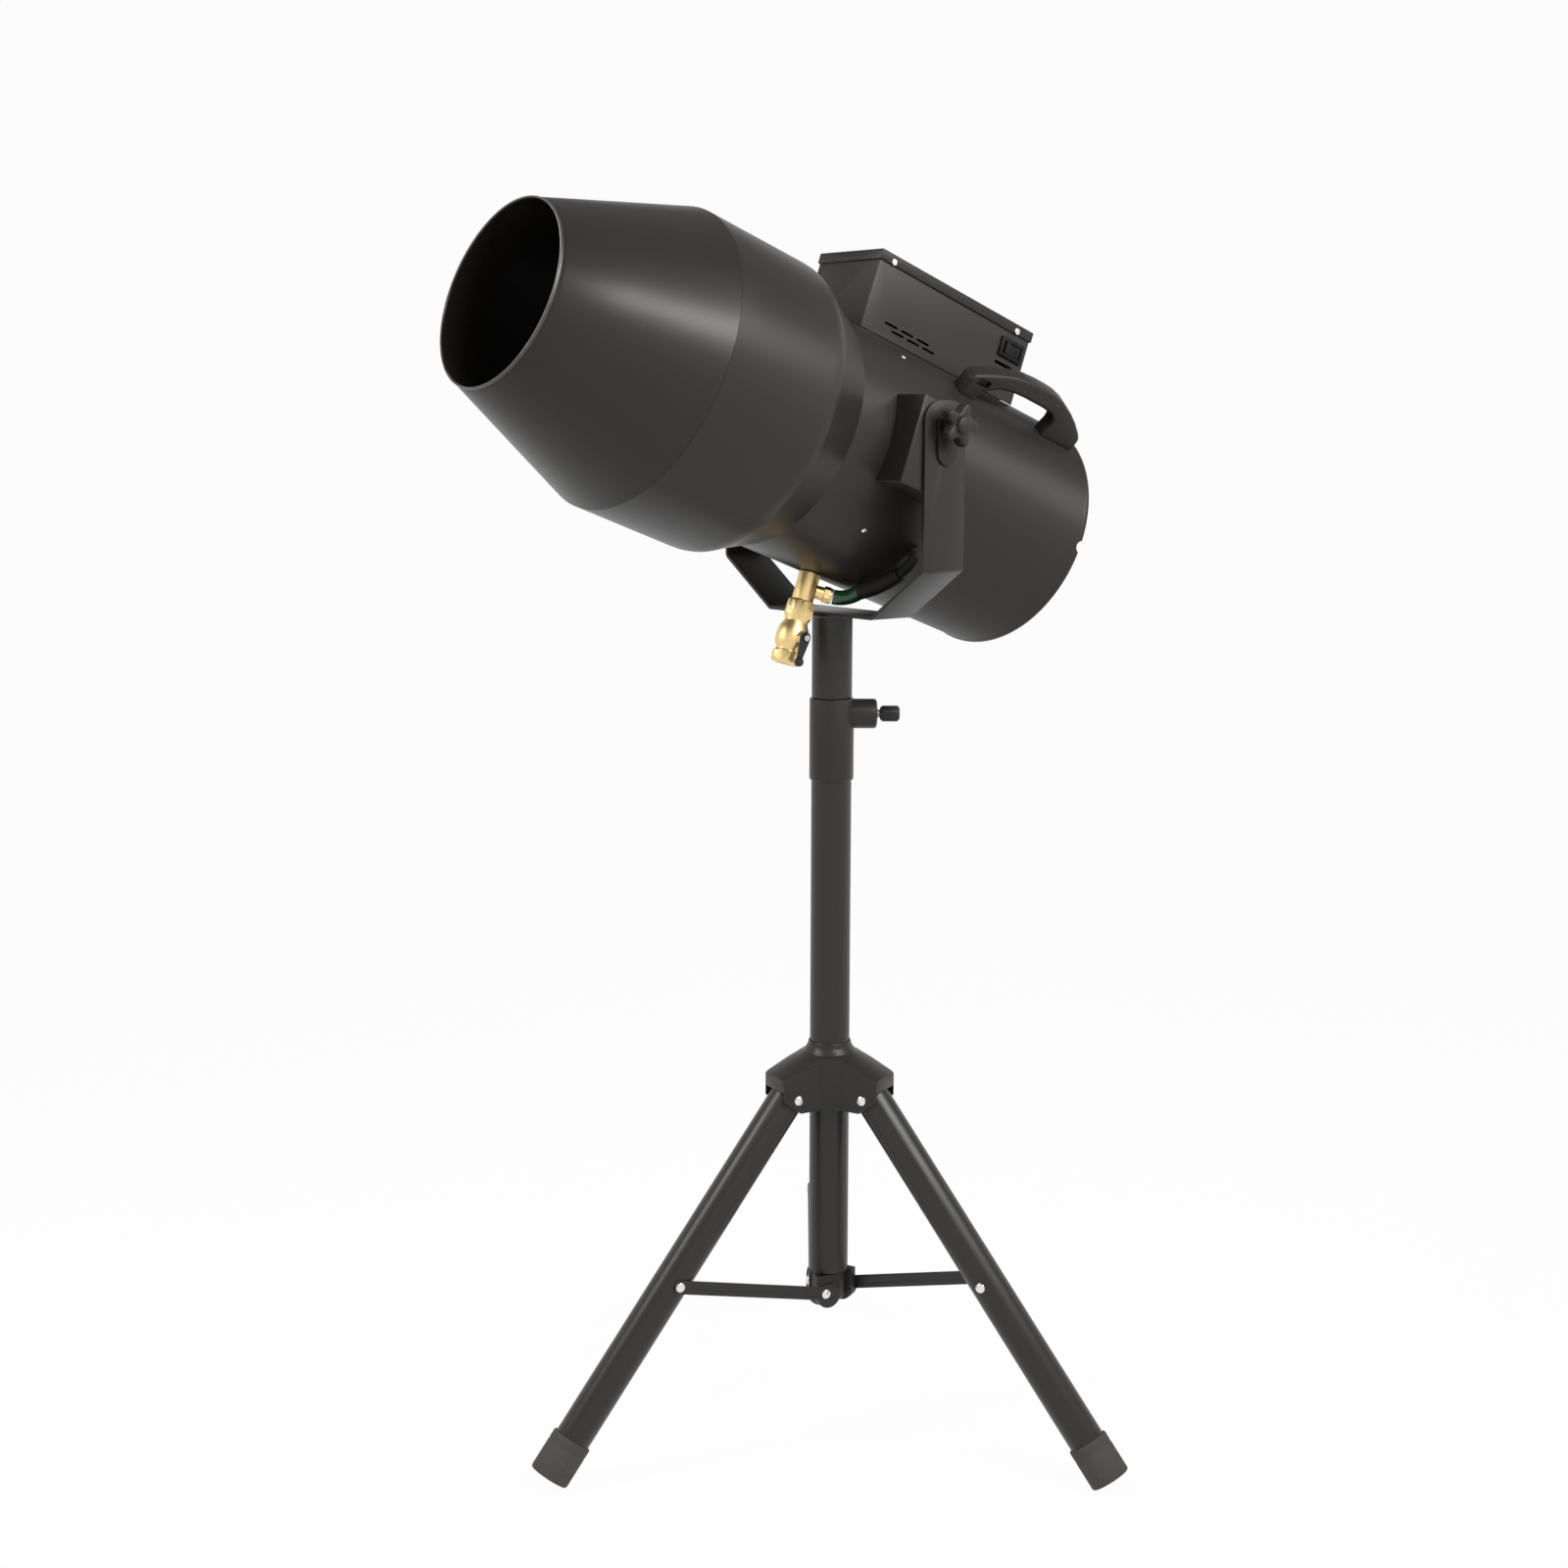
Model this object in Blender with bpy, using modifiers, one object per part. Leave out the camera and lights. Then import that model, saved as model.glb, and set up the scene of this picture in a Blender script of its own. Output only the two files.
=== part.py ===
"""Foam machine: a tilting jet barrel with an axial fan, on a folding tripod stand.

Units are metres, +Z is up and the feet stand on z = 0. The stand's pole is vertical. The barrel
frame has x along the barrel towards the mouth, y towards its left side and z square to both; its
origin is on the tilt pivot. Angles are in degrees and azimuths are counted from -Y towards +X.
"""

import math

import bmesh
import bpy
from mathutils import Matrix, Vector

# General fits
GAP = 0.0003
PIN_R = 0.0030
PIN_HOLE_R = PIN_R + GAP
RIVET_HEAD_R = 0.0048
BIG_STEPS = 36
TUBE_STEPS = 24
SMALL_STEPS = 10

# Where the pole stands, measured from the middle of the whole machine's floor area
POLE_X = 0.02966
POLE_Y = -0.01243

# Stand: pole and collar
COLUMN_R = 0.0190
COLUMN_BORE_R = 0.0174
COLUMN_BOTTOM = 0.1560
COLUMN_TOP = 0.6940
COLLAR_R = 0.0209
COLLAR_BOTTOM = 0.6403
COLLAR_TOP = 0.7177
BOSS_R = 0.0140
BOSS_REACH = 0.0426
BOSS_Z = 0.7030
MAST_R = 0.0155
MAST_WALL = 0.0015
MAST_BOTTOM = 0.300

# Stand: hub, legs and braces
LEG_AZIMUTHS = {"front_left": -60.0, "front_right": 60.0, "rear": 180.0}
LEG_R = 0.0170
LEG_WALL = 0.0016
LEG_ANGLE = 37.84
LEG_LENGTH = 0.4150
LEG_TOP = 0.0120
HUB_PIN_OUT = 0.0457
HUB_PIN_Z = 0.3371
HUB_BORE_R = 0.0194
CHEEK_IN = LEG_R + 0.0006
CHEEK_OUT = CHEEK_IN + 0.0024
BRACKET_PIN_OUT = 0.0133
BRACKET_PIN_Z = 0.1371
BRACKET_FACE = 0.0172
BRACE_ON_LEG = 0.2055
BRACE_THICK = 0.0040
HUB_LOCK_Z = 0.3450
HUB_LOCK_TURN = -60.0
FOOT_R = 0.0193
FOOT_LENGTH = 0.0400
FOOT_FLOOR = 0.0070

# Yoke
PAN_ANGLE = 218.62
YOKE_BASE_Z = 0.7968
YOKE_SHEET = 0.0030
YOKE_WIDTH = 0.0475
YOKE_SET_BACK = -0.0075
YOKE_BASE_HALF = 0.0750
YOKE_FOLD_Z = 0.8440
YOKE_ARM_IN = 0.1415
YOKE_ARM_TOP = 0.9930

# Tilt pivot, in the yoke's frame, and the barrel's axis below it
PIVOT_X = -0.0090
PIVOT_Z = 0.9716
TILT_ANGLE = 20.38
AXIS_DROP = 0.0270

# Barrel stations along its axis, from the pivot towards the mouth
MOUTH_X = 0.3800
MOUTH_R = 0.0830
CREASE_X = 0.2350
DRUM_R = 0.1374
DRUM_REAR_X = 0.1150
HOUSING_FRONT_X = 0.0710
HOUSING_REAR_X = -0.2300
HOUSING_R = 0.1125
SHEET = 0.0015

# Fan
MOTOR_R = 0.0480
MOTOR_FRONT_X = 0.0200
MOTOR_REAR_X = -0.0950
BLADE_COUNT = 7
BLADE_TIP_R = 0.1060
HUB_R = 0.0400
FAN_FRONT_X = -0.1080
FAN_REAR_X = -0.1560
STRAP_ANGLES = (38.0, 132.0, -132.0, -38.0)
GUARD_X = -0.2200

# Control box on top of the fan housing
BOX_FRONT_X = 0.0430
BOX_REAR_X = -0.1580
BOX_HALF = 0.0435
BOX_SKIRT = 0.1000
BOX_TOP = 0.1762
LID_TOP = 0.1780
LID_FLANGE = 0.0100
BOX_SHEET = 0.0012
SWITCH_X = -0.1380
SWITCH_Z = 0.1520

# Carry handle, in the radial plane turned this far from the top towards the left side
HANDLE_ANGLE = 40.0
HANDLE_WIDTH = 0.0175

# Water side
VALVE_X = -0.0135
NIPPLE_R = 0.0100
NIPPLE_END = -0.1395
VALVE_R = 0.0125
VALVE_BALL_Z = -0.1740
VALVE_END = -0.2000
HOSE_R = 0.0070
HOSE_RING_R = 0.1228
HOSE_START = 0.0262
HOSE_START_R = 0.1290
BRANCH_ANGLE = 35.0
PORT_ANGLE = 134.0

for old in list(bpy.data.objects):
    bpy.data.objects.remove(old, do_unlink=True)

machine = bpy.data.collections.new("foam_machine")
cutters = bpy.data.collections.new("cutters")
bpy.context.scene.collection.children.link(machine)
bpy.context.scene.collection.children.link(cutters)
cutters.hide_render = True


# Materials

def finish(name, colour, roughness, metallic=0.0):
    material = bpy.data.materials.new(name)
    material.use_nodes = True
    shader = material.node_tree.nodes["Principled BSDF"]
    shader.inputs["Base Color"].default_value = (*colour, 1.0)
    shader.inputs["Roughness"].default_value = roughness
    shader.inputs["Metallic"].default_value = metallic
    return material


BLACK_COAT = dict(colour=(0.032, 0.028, 0.026), roughness=0.42)
GLOSS_BLACK = dict(colour=(0.022, 0.019, 0.018), roughness=0.22)
RUBBER = dict(colour=(0.075, 0.070, 0.066), roughness=0.85)
PLASTIC = dict(colour=(0.020, 0.019, 0.019), roughness=0.50)
BRASS = dict(colour=(0.72, 0.50, 0.20), roughness=0.28, metallic=1.0)
ZINC = dict(colour=(0.62, 0.62, 0.60), roughness=0.30, metallic=1.0)
HOSE_GREEN = dict(colour=(0.012, 0.090, 0.035), roughness=0.45)
BOARD_GREEN = dict(colour=(0.020, 0.110, 0.050), roughness=0.50)


# Frames that carry the pieces

def frame(name, parent=None, place=(0, 0, 0), turn=(0, 0, 0)):
    empty = bpy.data.objects.new(name, None)
    machine.objects.link(empty)
    empty.parent = parent
    empty.location = place
    empty.rotation_euler = [math.radians(a) for a in turn]
    return empty


# Shape helpers

def put(name, mesh, parent, look=None, place=(0, 0, 0), turn=(0, 0, 0), smooth=True):
    """Makes the mesh an object under its frame, as a piece when it has a look and else as a cutter."""
    obj = bpy.data.objects.new(name, mesh)
    obj.parent = parent
    obj.location = place
    obj.rotation_euler = [math.radians(a) for a in turn]
    if look is None:
        cutters.objects.link(obj)
        obj.hide_render = True
        obj.display_type = "WIRE"
        return obj
    machine.objects.link(obj)
    mesh.materials.clear()
    mesh.materials.append(finish(name, **look))
    if smooth:
        mesh.shade_smooth()
        mesh.set_sharp_from_angle(angle=math.radians(32))
    return obj


def mesh_from(build):
    """Runs a bmesh builder and returns the mesh with its faces pointing out."""
    bm = bmesh.new()
    build(bm)
    bmesh.ops.recalc_face_normals(bm, faces=bm.faces)
    mesh = bpy.data.meshes.new("shape")
    bm.to_mesh(mesh)
    bm.free()
    return mesh


def block(size, centre=(0, 0, 0), bevel=0.0, segments=2):
    def build(bm):
        bmesh.ops.create_cube(bm, size=1.0)
        bmesh.ops.scale(bm, vec=size, verts=bm.verts)
        if bevel:
            bmesh.ops.bevel(bm, geom=list(bm.edges), offset=bevel, segments=segments,
                            affect="EDGES", profile=0.5)
        bmesh.ops.translate(bm, vec=centre, verts=bm.verts)
    return mesh_from(build)


def rod(radius, low, high, steps=SMALL_STEPS, axis="Z", radius_high=None):
    """A solid cylinder or cone along one axis between two positions."""
    turns = {"Z": Matrix(), "X": Matrix.Rotation(math.radians(90), 4, "Y"),
             "Y": Matrix.Rotation(math.radians(-90), 4, "X")}

    def build(bm):
        bmesh.ops.create_cone(bm, cap_ends=True, segments=steps, radius1=radius,
                              radius2=radius if radius_high is None else radius_high,
                              depth=high - low)
        bmesh.ops.translate(bm, vec=(0, 0, (low + high) / 2), verts=bm.verts)
        bmesh.ops.transform(bm, matrix=turns[axis], verts=bm.verts)
    return mesh_from(build)


def ball(radius, centre, rings=8, steps=12):
    def build(bm):
        bmesh.ops.create_uvsphere(bm, u_segments=steps, v_segments=rings, radius=radius)
        bmesh.ops.translate(bm, vec=centre, verts=bm.verts)
    return mesh_from(build)


def turned(profile, steps=TUBE_STEPS, closed=True, axis="Z"):
    """Spins a profile of (radius, height) points, which runs down its outer side."""
    source = bpy.data.meshes.new("profile")
    points = [(r, 0.0, h) for r, h in profile]
    edges = [(i, i + 1) for i in range(len(points) - 1)]
    if closed:
        edges.append((len(points) - 1, 0))
    source.from_pydata(points, edges, [])
    helper = bpy.data.objects.new("profile", source)
    bpy.context.scene.collection.objects.link(helper)
    screw = helper.modifiers.new("spin", "SCREW")
    screw.steps = screw.render_steps = steps
    screw.use_merge_vertices = True
    screw.merge_threshold = 0.00001
    mesh = evaluated_mesh(helper)
    turn = {"Z": Matrix(), "X": Matrix.Rotation(math.radians(90), 4, "Y"),
            "Y": Matrix.Rotation(math.radians(-90), 4, "X")}[axis]
    mesh.transform(turn)
    return mesh


def evaluated_mesh(helper):
    """The helper's mesh with its modifiers applied and its caps welded; the helper is removed."""
    graph = bpy.context.evaluated_depsgraph_get()
    mesh = bpy.data.meshes.new_from_object(helper.evaluated_get(graph))
    bpy.data.objects.remove(helper, do_unlink=True)
    bm = bmesh.new()
    bm.from_mesh(mesh)
    bmesh.ops.remove_doubles(bm, verts=bm.verts, dist=0.000005)
    bmesh.ops.recalc_face_normals(bm, faces=bm.faces)
    bm.to_mesh(mesh)
    bm.free()
    return mesh


def curve_helper(splines, cyclic, dimensions="3D"):
    data = bpy.data.curves.new("route", "CURVE")
    data.dimensions = dimensions
    for points in splines:
        spline = data.splines.new("POLY")
        spline.points.add(len(points) - 1)
        for point, place in zip(spline.points, points):
            point.co = (*place, 1.0) if len(place) == 3 else (*place, 0.0, 1.0)
        spline.use_cyclic_u = cyclic
    helper = bpy.data.objects.new("route", data)
    bpy.context.scene.collection.objects.link(helper)
    return helper, data


def plate(outlines, thickness, bevel=0.0):
    """A flat sheet from its outer outline and its holes, thickness centred on z = 0."""
    helper, data = curve_helper(outlines, True, "2D")
    data.fill_mode = "BOTH"
    data.extrude = thickness / 2 - bevel
    data.bevel_depth = bevel
    data.bevel_resolution = 0
    data.offset = -bevel
    return evaluated_mesh(helper)


def wire(points, radius, resolution=2):
    helper, data = curve_helper([points], False)
    data.bevel_depth = radius
    data.bevel_resolution = resolution
    data.use_fill_caps = True
    data.twist_mode = "MINIMUM"
    return evaluated_mesh(helper)


def circle(radius, count, centre=(0, 0), start=0.0):
    return [(centre[0] + radius * math.cos(start + math.tau * i / count),
             centre[1] + radius * math.sin(start + math.tau * i / count)) for i in range(count)]


def arc(radius, first, last, count, centre=(0, 0)):
    """Points on an arc, angles in degrees."""
    steps = [math.radians(first + (last - first) * i / count) for i in range(count + 1)]
    return [(centre[0] + radius * math.cos(a), centre[1] + radius * math.sin(a)) for a in steps]


def boolean(obj, other, operation):
    step = obj.modifiers.new(operation.lower(), "BOOLEAN")
    step.operation = operation
    step.solver = "EXACT"
    step.object = other
    return step


def cut(obj, *meshes, place=(0, 0, 0), turn=(0, 0, 0), parent=None):
    for mesh in meshes:
        boolean(obj, put(obj.name + "_cut", mesh, parent or obj.parent, None, place, turn), "DIFFERENCE")


def join(obj, *meshes, place=(0, 0, 0), turn=(0, 0, 0), parent=None):
    for mesh in meshes:
        boolean(obj, put(obj.name + "_add", mesh, parent or obj.parent, None, place, turn), "UNION")


def keep(obj, mesh, place=(0, 0, 0), turn=(0, 0, 0)):
    boolean(obj, put(obj.name + "_keep", mesh, obj.parent, None, place, turn), "INTERSECT")


# Stand: the fixed pole

def column_tube(stand):
    r, bore, low, high = COLUMN_R, COLUMN_BORE_R, COLUMN_BOTTOM, COLUMN_TOP
    put("column_tube", turned([(r, high), (r, low), (bore, low), (bore, high)]), stand, GLOSS_BLACK)


def height_collar(stand):
    """A sleeve over the column's top, narrower above it, with a boss for the clamp screw."""
    profile = [(0, COLLAR_TOP), (COLLAR_R - 0.0008, COLLAR_TOP), (COLLAR_R, COLLAR_TOP - 0.001),
               (COLLAR_R, COLLAR_BOTTOM + 0.002), (COLLAR_R - 0.0009, COLLAR_BOTTOM), (0, COLLAR_BOTTOM)]
    collar = put("height_collar", turned(profile, closed=False), stand, PLASTIC)
    boss = turned([(0, BOSS_REACH), (BOSS_R - 0.002, BOSS_REACH), (BOSS_R, BOSS_REACH - 0.0015),
                   (BOSS_R, 0.0050), (0, 0.0050)], closed=False, axis="X")
    join(collar, boss, place=(0, 0, BOSS_Z))
    cut(collar, rod(COLUMN_R + GAP, COLLAR_BOTTOM - 0.01, COLUMN_TOP + GAP, TUBE_STEPS),
        rod(MAST_R + GAP, COLUMN_TOP - 0.01, COLLAR_TOP + 0.01, TUBE_STEPS))
    cut(collar, rod(0.0043, 0.010, 0.050, axis="X"), place=(0, 0, BOSS_Z))


def clamp_knob(stand):
    knob = frame("clamp_knob_axis", stand, (0, 0, BOSS_Z))
    head_low, head_high = BOSS_REACH + 0.0026, BOSS_REACH + 0.0215
    body = put("clamp_knob", rod(0.0040, MAST_R + 0.0006, head_low + 0.002, axis="X"), knob, PLASTIC)
    lobes = [(0.0066 + 0.0008 * math.cos(6 * a)) for a in [math.tau * i / 24 for i in range(24)]]
    outline = [(r * math.cos(math.tau * i / 24), r * math.sin(math.tau * i / 24))
               for i, r in enumerate(lobes)]
    join(body, plate([outline], head_high - head_low, bevel=0.0012),
         place=((head_low + head_high) / 2, 0, 0), turn=(0, 90, 0))


def leg_plane(stand, azimuth, place=(0, 0, 0), name="leg_plane"):
    """A frame whose x runs outwards at the azimuth; its y is square to the leg."""
    holder = frame(name, stand, (0, 0, 0), (0, 0, azimuth - 90.0))
    return frame(name + "_at", holder, place)


def lower_bracket(stand):
    top = COLUMN_BOTTOM - GAP
    core = [(0, top + 0.044), (0.0158, top + 0.044), (COLUMN_BORE_R - GAP, top + 0.042),
            (COLUMN_BORE_R - GAP, top), (0.0165, top), (0.0165, 0.1290), (0.0120, 0.1250), (0, 0.1250)]
    bracket = put("lower_bracket", turned(core, closed=False), stand, PLASTIC)
    radius, middle, rise = 0.0128, (-0.0048, -0.0030), top - BRACKET_PIN_Z
    cheek = plate([arc(radius, 180, 360, 10, middle) + [(middle[0] + radius, rise), (middle[0] - radius, rise)]],
                  0.0087, bevel=0.0008)
    hole = rod(PIN_HOLE_R, 0.0115, BRACKET_FACE + 0.01, axis="Y")
    for name, azimuth in LEG_AZIMUTHS.items():
        at = leg_plane(stand, azimuth, (BRACKET_PIN_OUT, 0, BRACKET_PIN_Z), "bracket_" + name)
        join(bracket, cheek.copy(), place=(0, BRACKET_FACE - 0.00435, 0), turn=(90, 0, 0), parent=at)
        cut(bracket, hole.copy(), parent=at)
        brace_pin(at, name)


def brace_pin(at, name):
    outer = BRACKET_FACE + GAP + BRACE_THICK
    pin = put("brace_pin_" + name, rod(PIN_R, 0.0120, outer + 0.001, axis="Y"), at, ZINC)
    join(pin, rivet_head(), place=(0, outer + GAP, 0), turn=(-90, 0, 0))


def rivet_head():
    """A domed head whose flat side is at z = 0."""
    r = RIVET_HEAD_R
    return turned([(0, 0.0021), (r * 0.65, 0.0017), (r, 0.0), (0, 0.0)],
                  steps=SMALL_STEPS, closed=False)


# Stand: the sliding hub, the legs and their braces

def hub_outline():
    """Plan of the hub: three pairs of cheeks, with a short flat between neighbours."""
    points = []
    for azimuth in sorted(LEG_AZIMUTHS.values()):
        out = Vector((math.sin(math.radians(azimuth)), -math.cos(math.radians(azimuth))))
        side = Vector((-out.y, out.x))
        for reach, t in ((0.0234, -1), (0.0610, -1), (0.0610, 1), (0.0234, 1)):
            point = out * reach + side * t * CHEEK_OUT
            points.append((point.x, point.y))
    return points


def leg_hub(stand, slide):
    height = 0.066
    hub = put("leg_hub", plate([hub_outline()], height, bevel=0.0008), slide, BLACK_COAT,
              (0, 0, 0.3238 + height / 2))
    dome = [(0, 0.3888), (0.0204, 0.3888), (0.0212, 0.3880), (0.0216, 0.3790), (0.0235, 0.3755),
            (0.0620, 0.3565), (0.0655, 0.3535), (0.0660, 0.3380), (0.0460, 0.3230), (0, 0.3230)]
    keep(hub, turned(dome, BIG_STEPS, closed=False))
    cut(hub, rod(HUB_BORE_R, 0.30, 0.40, TUBE_STEPS))
    cut(hub, rod(PIN_HOLE_R, 0.010, 0.036, axis="Y"), place=(0, 0, HUB_LOCK_Z), turn=(0, 0, HUB_LOCK_TURN))
    slot = plate([slot_outline()], 2 * CHEEK_IN)
    hole = rod(PIN_HOLE_R, -0.04, 0.04, axis="Y")
    for name, azimuth in LEG_AZIMUTHS.items():
        at = leg_plane(slide, azimuth, (HUB_PIN_OUT, 0, HUB_PIN_Z), "hub_" + name)
        cut(hub, slot.copy(), turn=(90, 0, 0), parent=at)
        cut(hub, hole.copy(), parent=at)
        leg_pin(at, name)
        leg(at, name)


def slot_outline():
    """The room a leg's top needs about its pin, from hanging straight down to spread."""
    wide, tall, lean = LEG_R + 0.0006, LEG_TOP + 0.0006, math.radians(LEG_ANGLE)
    low = 0.08
    outline = [(-wide, -low), (low * math.sin(lean) + wide, -low)]
    for degrees in (0, 15, 30, 45, 60):
        x, z = wide * math.cos(math.radians(degrees)), tall * math.sin(math.radians(degrees))
        outline.append((x * math.cos(lean) - z * math.sin(lean), x * math.sin(lean) + z * math.cos(lean)))
    outline += [(wide * math.cos(math.radians(a)), tall * math.sin(math.radians(a)))
                for a in (112, 125, 140, 160, 180)]
    return outline


def leg_pin(at, name):
    reach = CHEEK_OUT + GAP
    pin = put("leg_pin_" + name, rod(PIN_R, -reach - 0.0005, reach + 0.0005, axis="Y"), at, ZINC)
    join(pin, rivet_head(), place=(0, reach, 0), turn=(-90, 0, 0))
    join(pin, rivet_head(), place=(0, -reach, 0), turn=(90, 0, 0))


def hub_lock_screw(slide):
    axis = frame("hub_lock_axis", slide, (0, 0, HUB_LOCK_Z), (0, 0, HUB_LOCK_TURN))
    screw = put("hub_lock_screw", rod(PIN_R, COLUMN_R + 0.0006, 0.0340, axis="Y"), axis, PLASTIC)
    grip = [(0.0066 + 0.0009 * math.cos(math.tau * i / 4)) for i in range(24)]
    outline = [(r * math.cos(math.tau * i / 24), r * math.sin(math.tau * i / 24)) for i, r in enumerate(grip)]
    join(screw, plate([outline], 0.0190, bevel=0.0010), place=(0, 0.0398, 0), turn=(90, 0, 0))


def leg(at, name):
    hinge = frame("leg_hinge_" + name, at, turn=(0, -LEG_ANGLE, 0))
    bore = LEG_R - LEG_WALL
    end = -LEG_LENGTH + FOOT_FLOOR + GAP
    profile = [(0, LEG_TOP)] + [(LEG_R * math.cos(math.radians(a)), LEG_TOP * math.sin(math.radians(a)))
                                for a in (62, 32, 0)]
    profile += [(LEG_R, end), (bore, end), (bore, -0.014), (0, -0.014)]
    tube = put("leg_" + name, turned(profile, closed=False), hinge, GLOSS_BLACK)
    cut(tube, rod(PIN_HOLE_R, -0.03, 0.03, axis="Y"))
    stud = rod(0.0030, -LEG_R - 0.0005, BRACKET_FACE - 0.0002, axis="Y")
    boss = rod(0.0062, LEG_R - 0.0008, BRACKET_FACE, axis="Y")
    join(tube, stud, boss, place=(0, 0, -BRACE_ON_LEG))
    join(tube, rivet_head(), place=(0, -LEG_R + 0.0004, -BRACE_ON_LEG), turn=(90, 0, 0))
    foot(hinge, name)


def foot(hinge, name):
    """A rubber cup over the leg's end, worn flat where it stands."""
    end, top = -LEG_LENGTH, -LEG_LENGTH + FOOT_LENGTH
    bore = LEG_R + GAP
    profile = [(0, end + FOOT_FLOOR), (bore, end + FOOT_FLOOR), (bore, top), (FOOT_R - 0.0008, top),
               (FOOT_R, top - 0.001), (FOOT_R, end + 0.0015), (FOOT_R - 0.0015, end), (0, end)]
    rubber = put("foot_" + name, turned(profile, closed=False), hinge, RUBBER)
    out = HUB_PIN_OUT + LEG_LENGTH * math.sin(math.radians(LEG_ANGLE))
    cut(rubber, block((0.2, 0.2, 0.1), (out, 0, -0.05)), parent=hinge.parent.parent)


def brace(stand, name, azimuth):
    reach = Vector((HUB_PIN_OUT + BRACE_ON_LEG * math.sin(math.radians(LEG_ANGLE)) - BRACKET_PIN_OUT,
                    HUB_PIN_Z - BRACE_ON_LEG * math.cos(math.radians(LEG_ANGLE)) - BRACKET_PIN_Z))
    at = leg_plane(stand, azimuth, (BRACKET_PIN_OUT, 0, BRACKET_PIN_Z), "brace_base_" + name)
    hinge = frame("brace_hinge_" + name, at, turn=(0, -math.degrees(math.atan2(reach.y, reach.x)), 0))
    length = reach.length
    outline = arc(0.0120, 44, 336, 10, (-0.0040, -0.0017)) + arc(0.0066, -90, 90, 8, (length, 0))
    hole = circle(PIN_HOLE_R, SMALL_STEPS)
    middle = BRACKET_FACE + GAP + BRACE_THICK / 2
    bar = put("brace_" + name, plate([outline, hole], BRACE_THICK, bevel=0.0009), hinge, GLOSS_BLACK,
              (0, middle, 0), (90, 0, 0))
    join(bar, rivet_head(), place=(length, middle + BRACE_THICK / 2 - 0.0004, 0), turn=(-90, 0, 0))


# Stand: the sliding mast

def mast_tube(mast):
    bore, top = MAST_R - MAST_WALL, YOKE_BASE_Z - GAP
    put("mast_tube", turned([(MAST_R, top), (MAST_R, MAST_BOTTOM), (bore, MAST_BOTTOM), (bore, top)]),
        mast, ZINC)


def mast_bush(mast):
    """The plastic sleeve at the mast's foot that keeps it straight in the column."""
    r = COLUMN_BORE_R - GAP
    low, high = MAST_BOTTOM - 0.004, MAST_BOTTOM - GAP
    inner = MAST_R - MAST_WALL - GAP
    profile = [(inner, high + 0.014), (inner, high), (r, high), (r, low), (0.0100, low),
               (0.0100, high + 0.014)]
    put("mast_bush", turned(profile), mast, PLASTIC)


# Yoke

def yoke_socket(yoke):
    low, high = COLLAR_TOP + GAP, YOKE_BASE_Z - GAP
    bore = MAST_R + GAP
    put("yoke_socket", turned([(COLUMN_R, high), (COLUMN_R, low + 0.0006), (COLUMN_R - 0.0006, low),
                               (bore, low), (bore, high)]), yoke, GLOSS_BLACK)


def yoke_bracket(yoke):
    """One strip folded four times: base, two slanted sides and two upright arms."""
    t = YOKE_SHEET
    half, arm = YOKE_BASE_HALF, YOKE_ARM_IN
    slope = math.atan2(YOKE_FOLD_Z - YOKE_BASE_Z, arm + t - half)
    shift = t * math.tan(slope / 2)
    lean = t * math.tan((math.radians(90) - slope) / 2)
    right = [(half, YOKE_BASE_Z), (arm + t, YOKE_FOLD_Z), (arm + t, YOKE_ARM_TOP), (arm, YOKE_ARM_TOP),
             (arm, YOKE_FOLD_Z + lean), (half - shift, YOKE_BASE_Z + t)]
    outline = right + [(-y, z) for y, z in reversed(right)]
    strip = plate([outline], YOKE_WIDTH)
    bm = bmesh.new()
    bm.from_mesh(strip)
    corners = [e for e in bm.edges if abs(e.verts[0].co.y - YOKE_ARM_TOP) < 1e-5
               and abs(e.verts[1].co.y - YOKE_ARM_TOP) < 1e-5
               and abs(e.verts[0].co.z - e.verts[1].co.z) < 1e-5]
    bmesh.ops.bevel(bm, geom=corners, offset=0.018, segments=5, affect="EDGES", profile=0.5)
    bm.to_mesh(strip)
    bm.free()
    bracket = put("yoke_bracket", strip, yoke, BLACK_COAT, (YOKE_SET_BACK, 0, 0), (90, 0, 90))
    cut(bracket, rod(0.0045, -0.2, 0.2, axis="Y"), place=(PIVOT_X, 0, PIVOT_Z))


def pivot_keeper(yoke, name, side):
    """The shaped washer plate between an arm and its star knob."""
    outline = arc(0.0115, 0, 180, 8) + arc(0.0115, 180, 360, 8, (0, -0.024))
    face = YOKE_ARM_IN + YOKE_SHEET + GAP
    put("pivot_keeper_" + name, plate([outline, circle(0.0045, SMALL_STEPS)], 0.0020, bevel=0.0004), yoke,
        PLASTIC, (PIVOT_X, side * (face + 0.0010), PIVOT_Z), (90, 0, 0))


# Barrel shells

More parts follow.
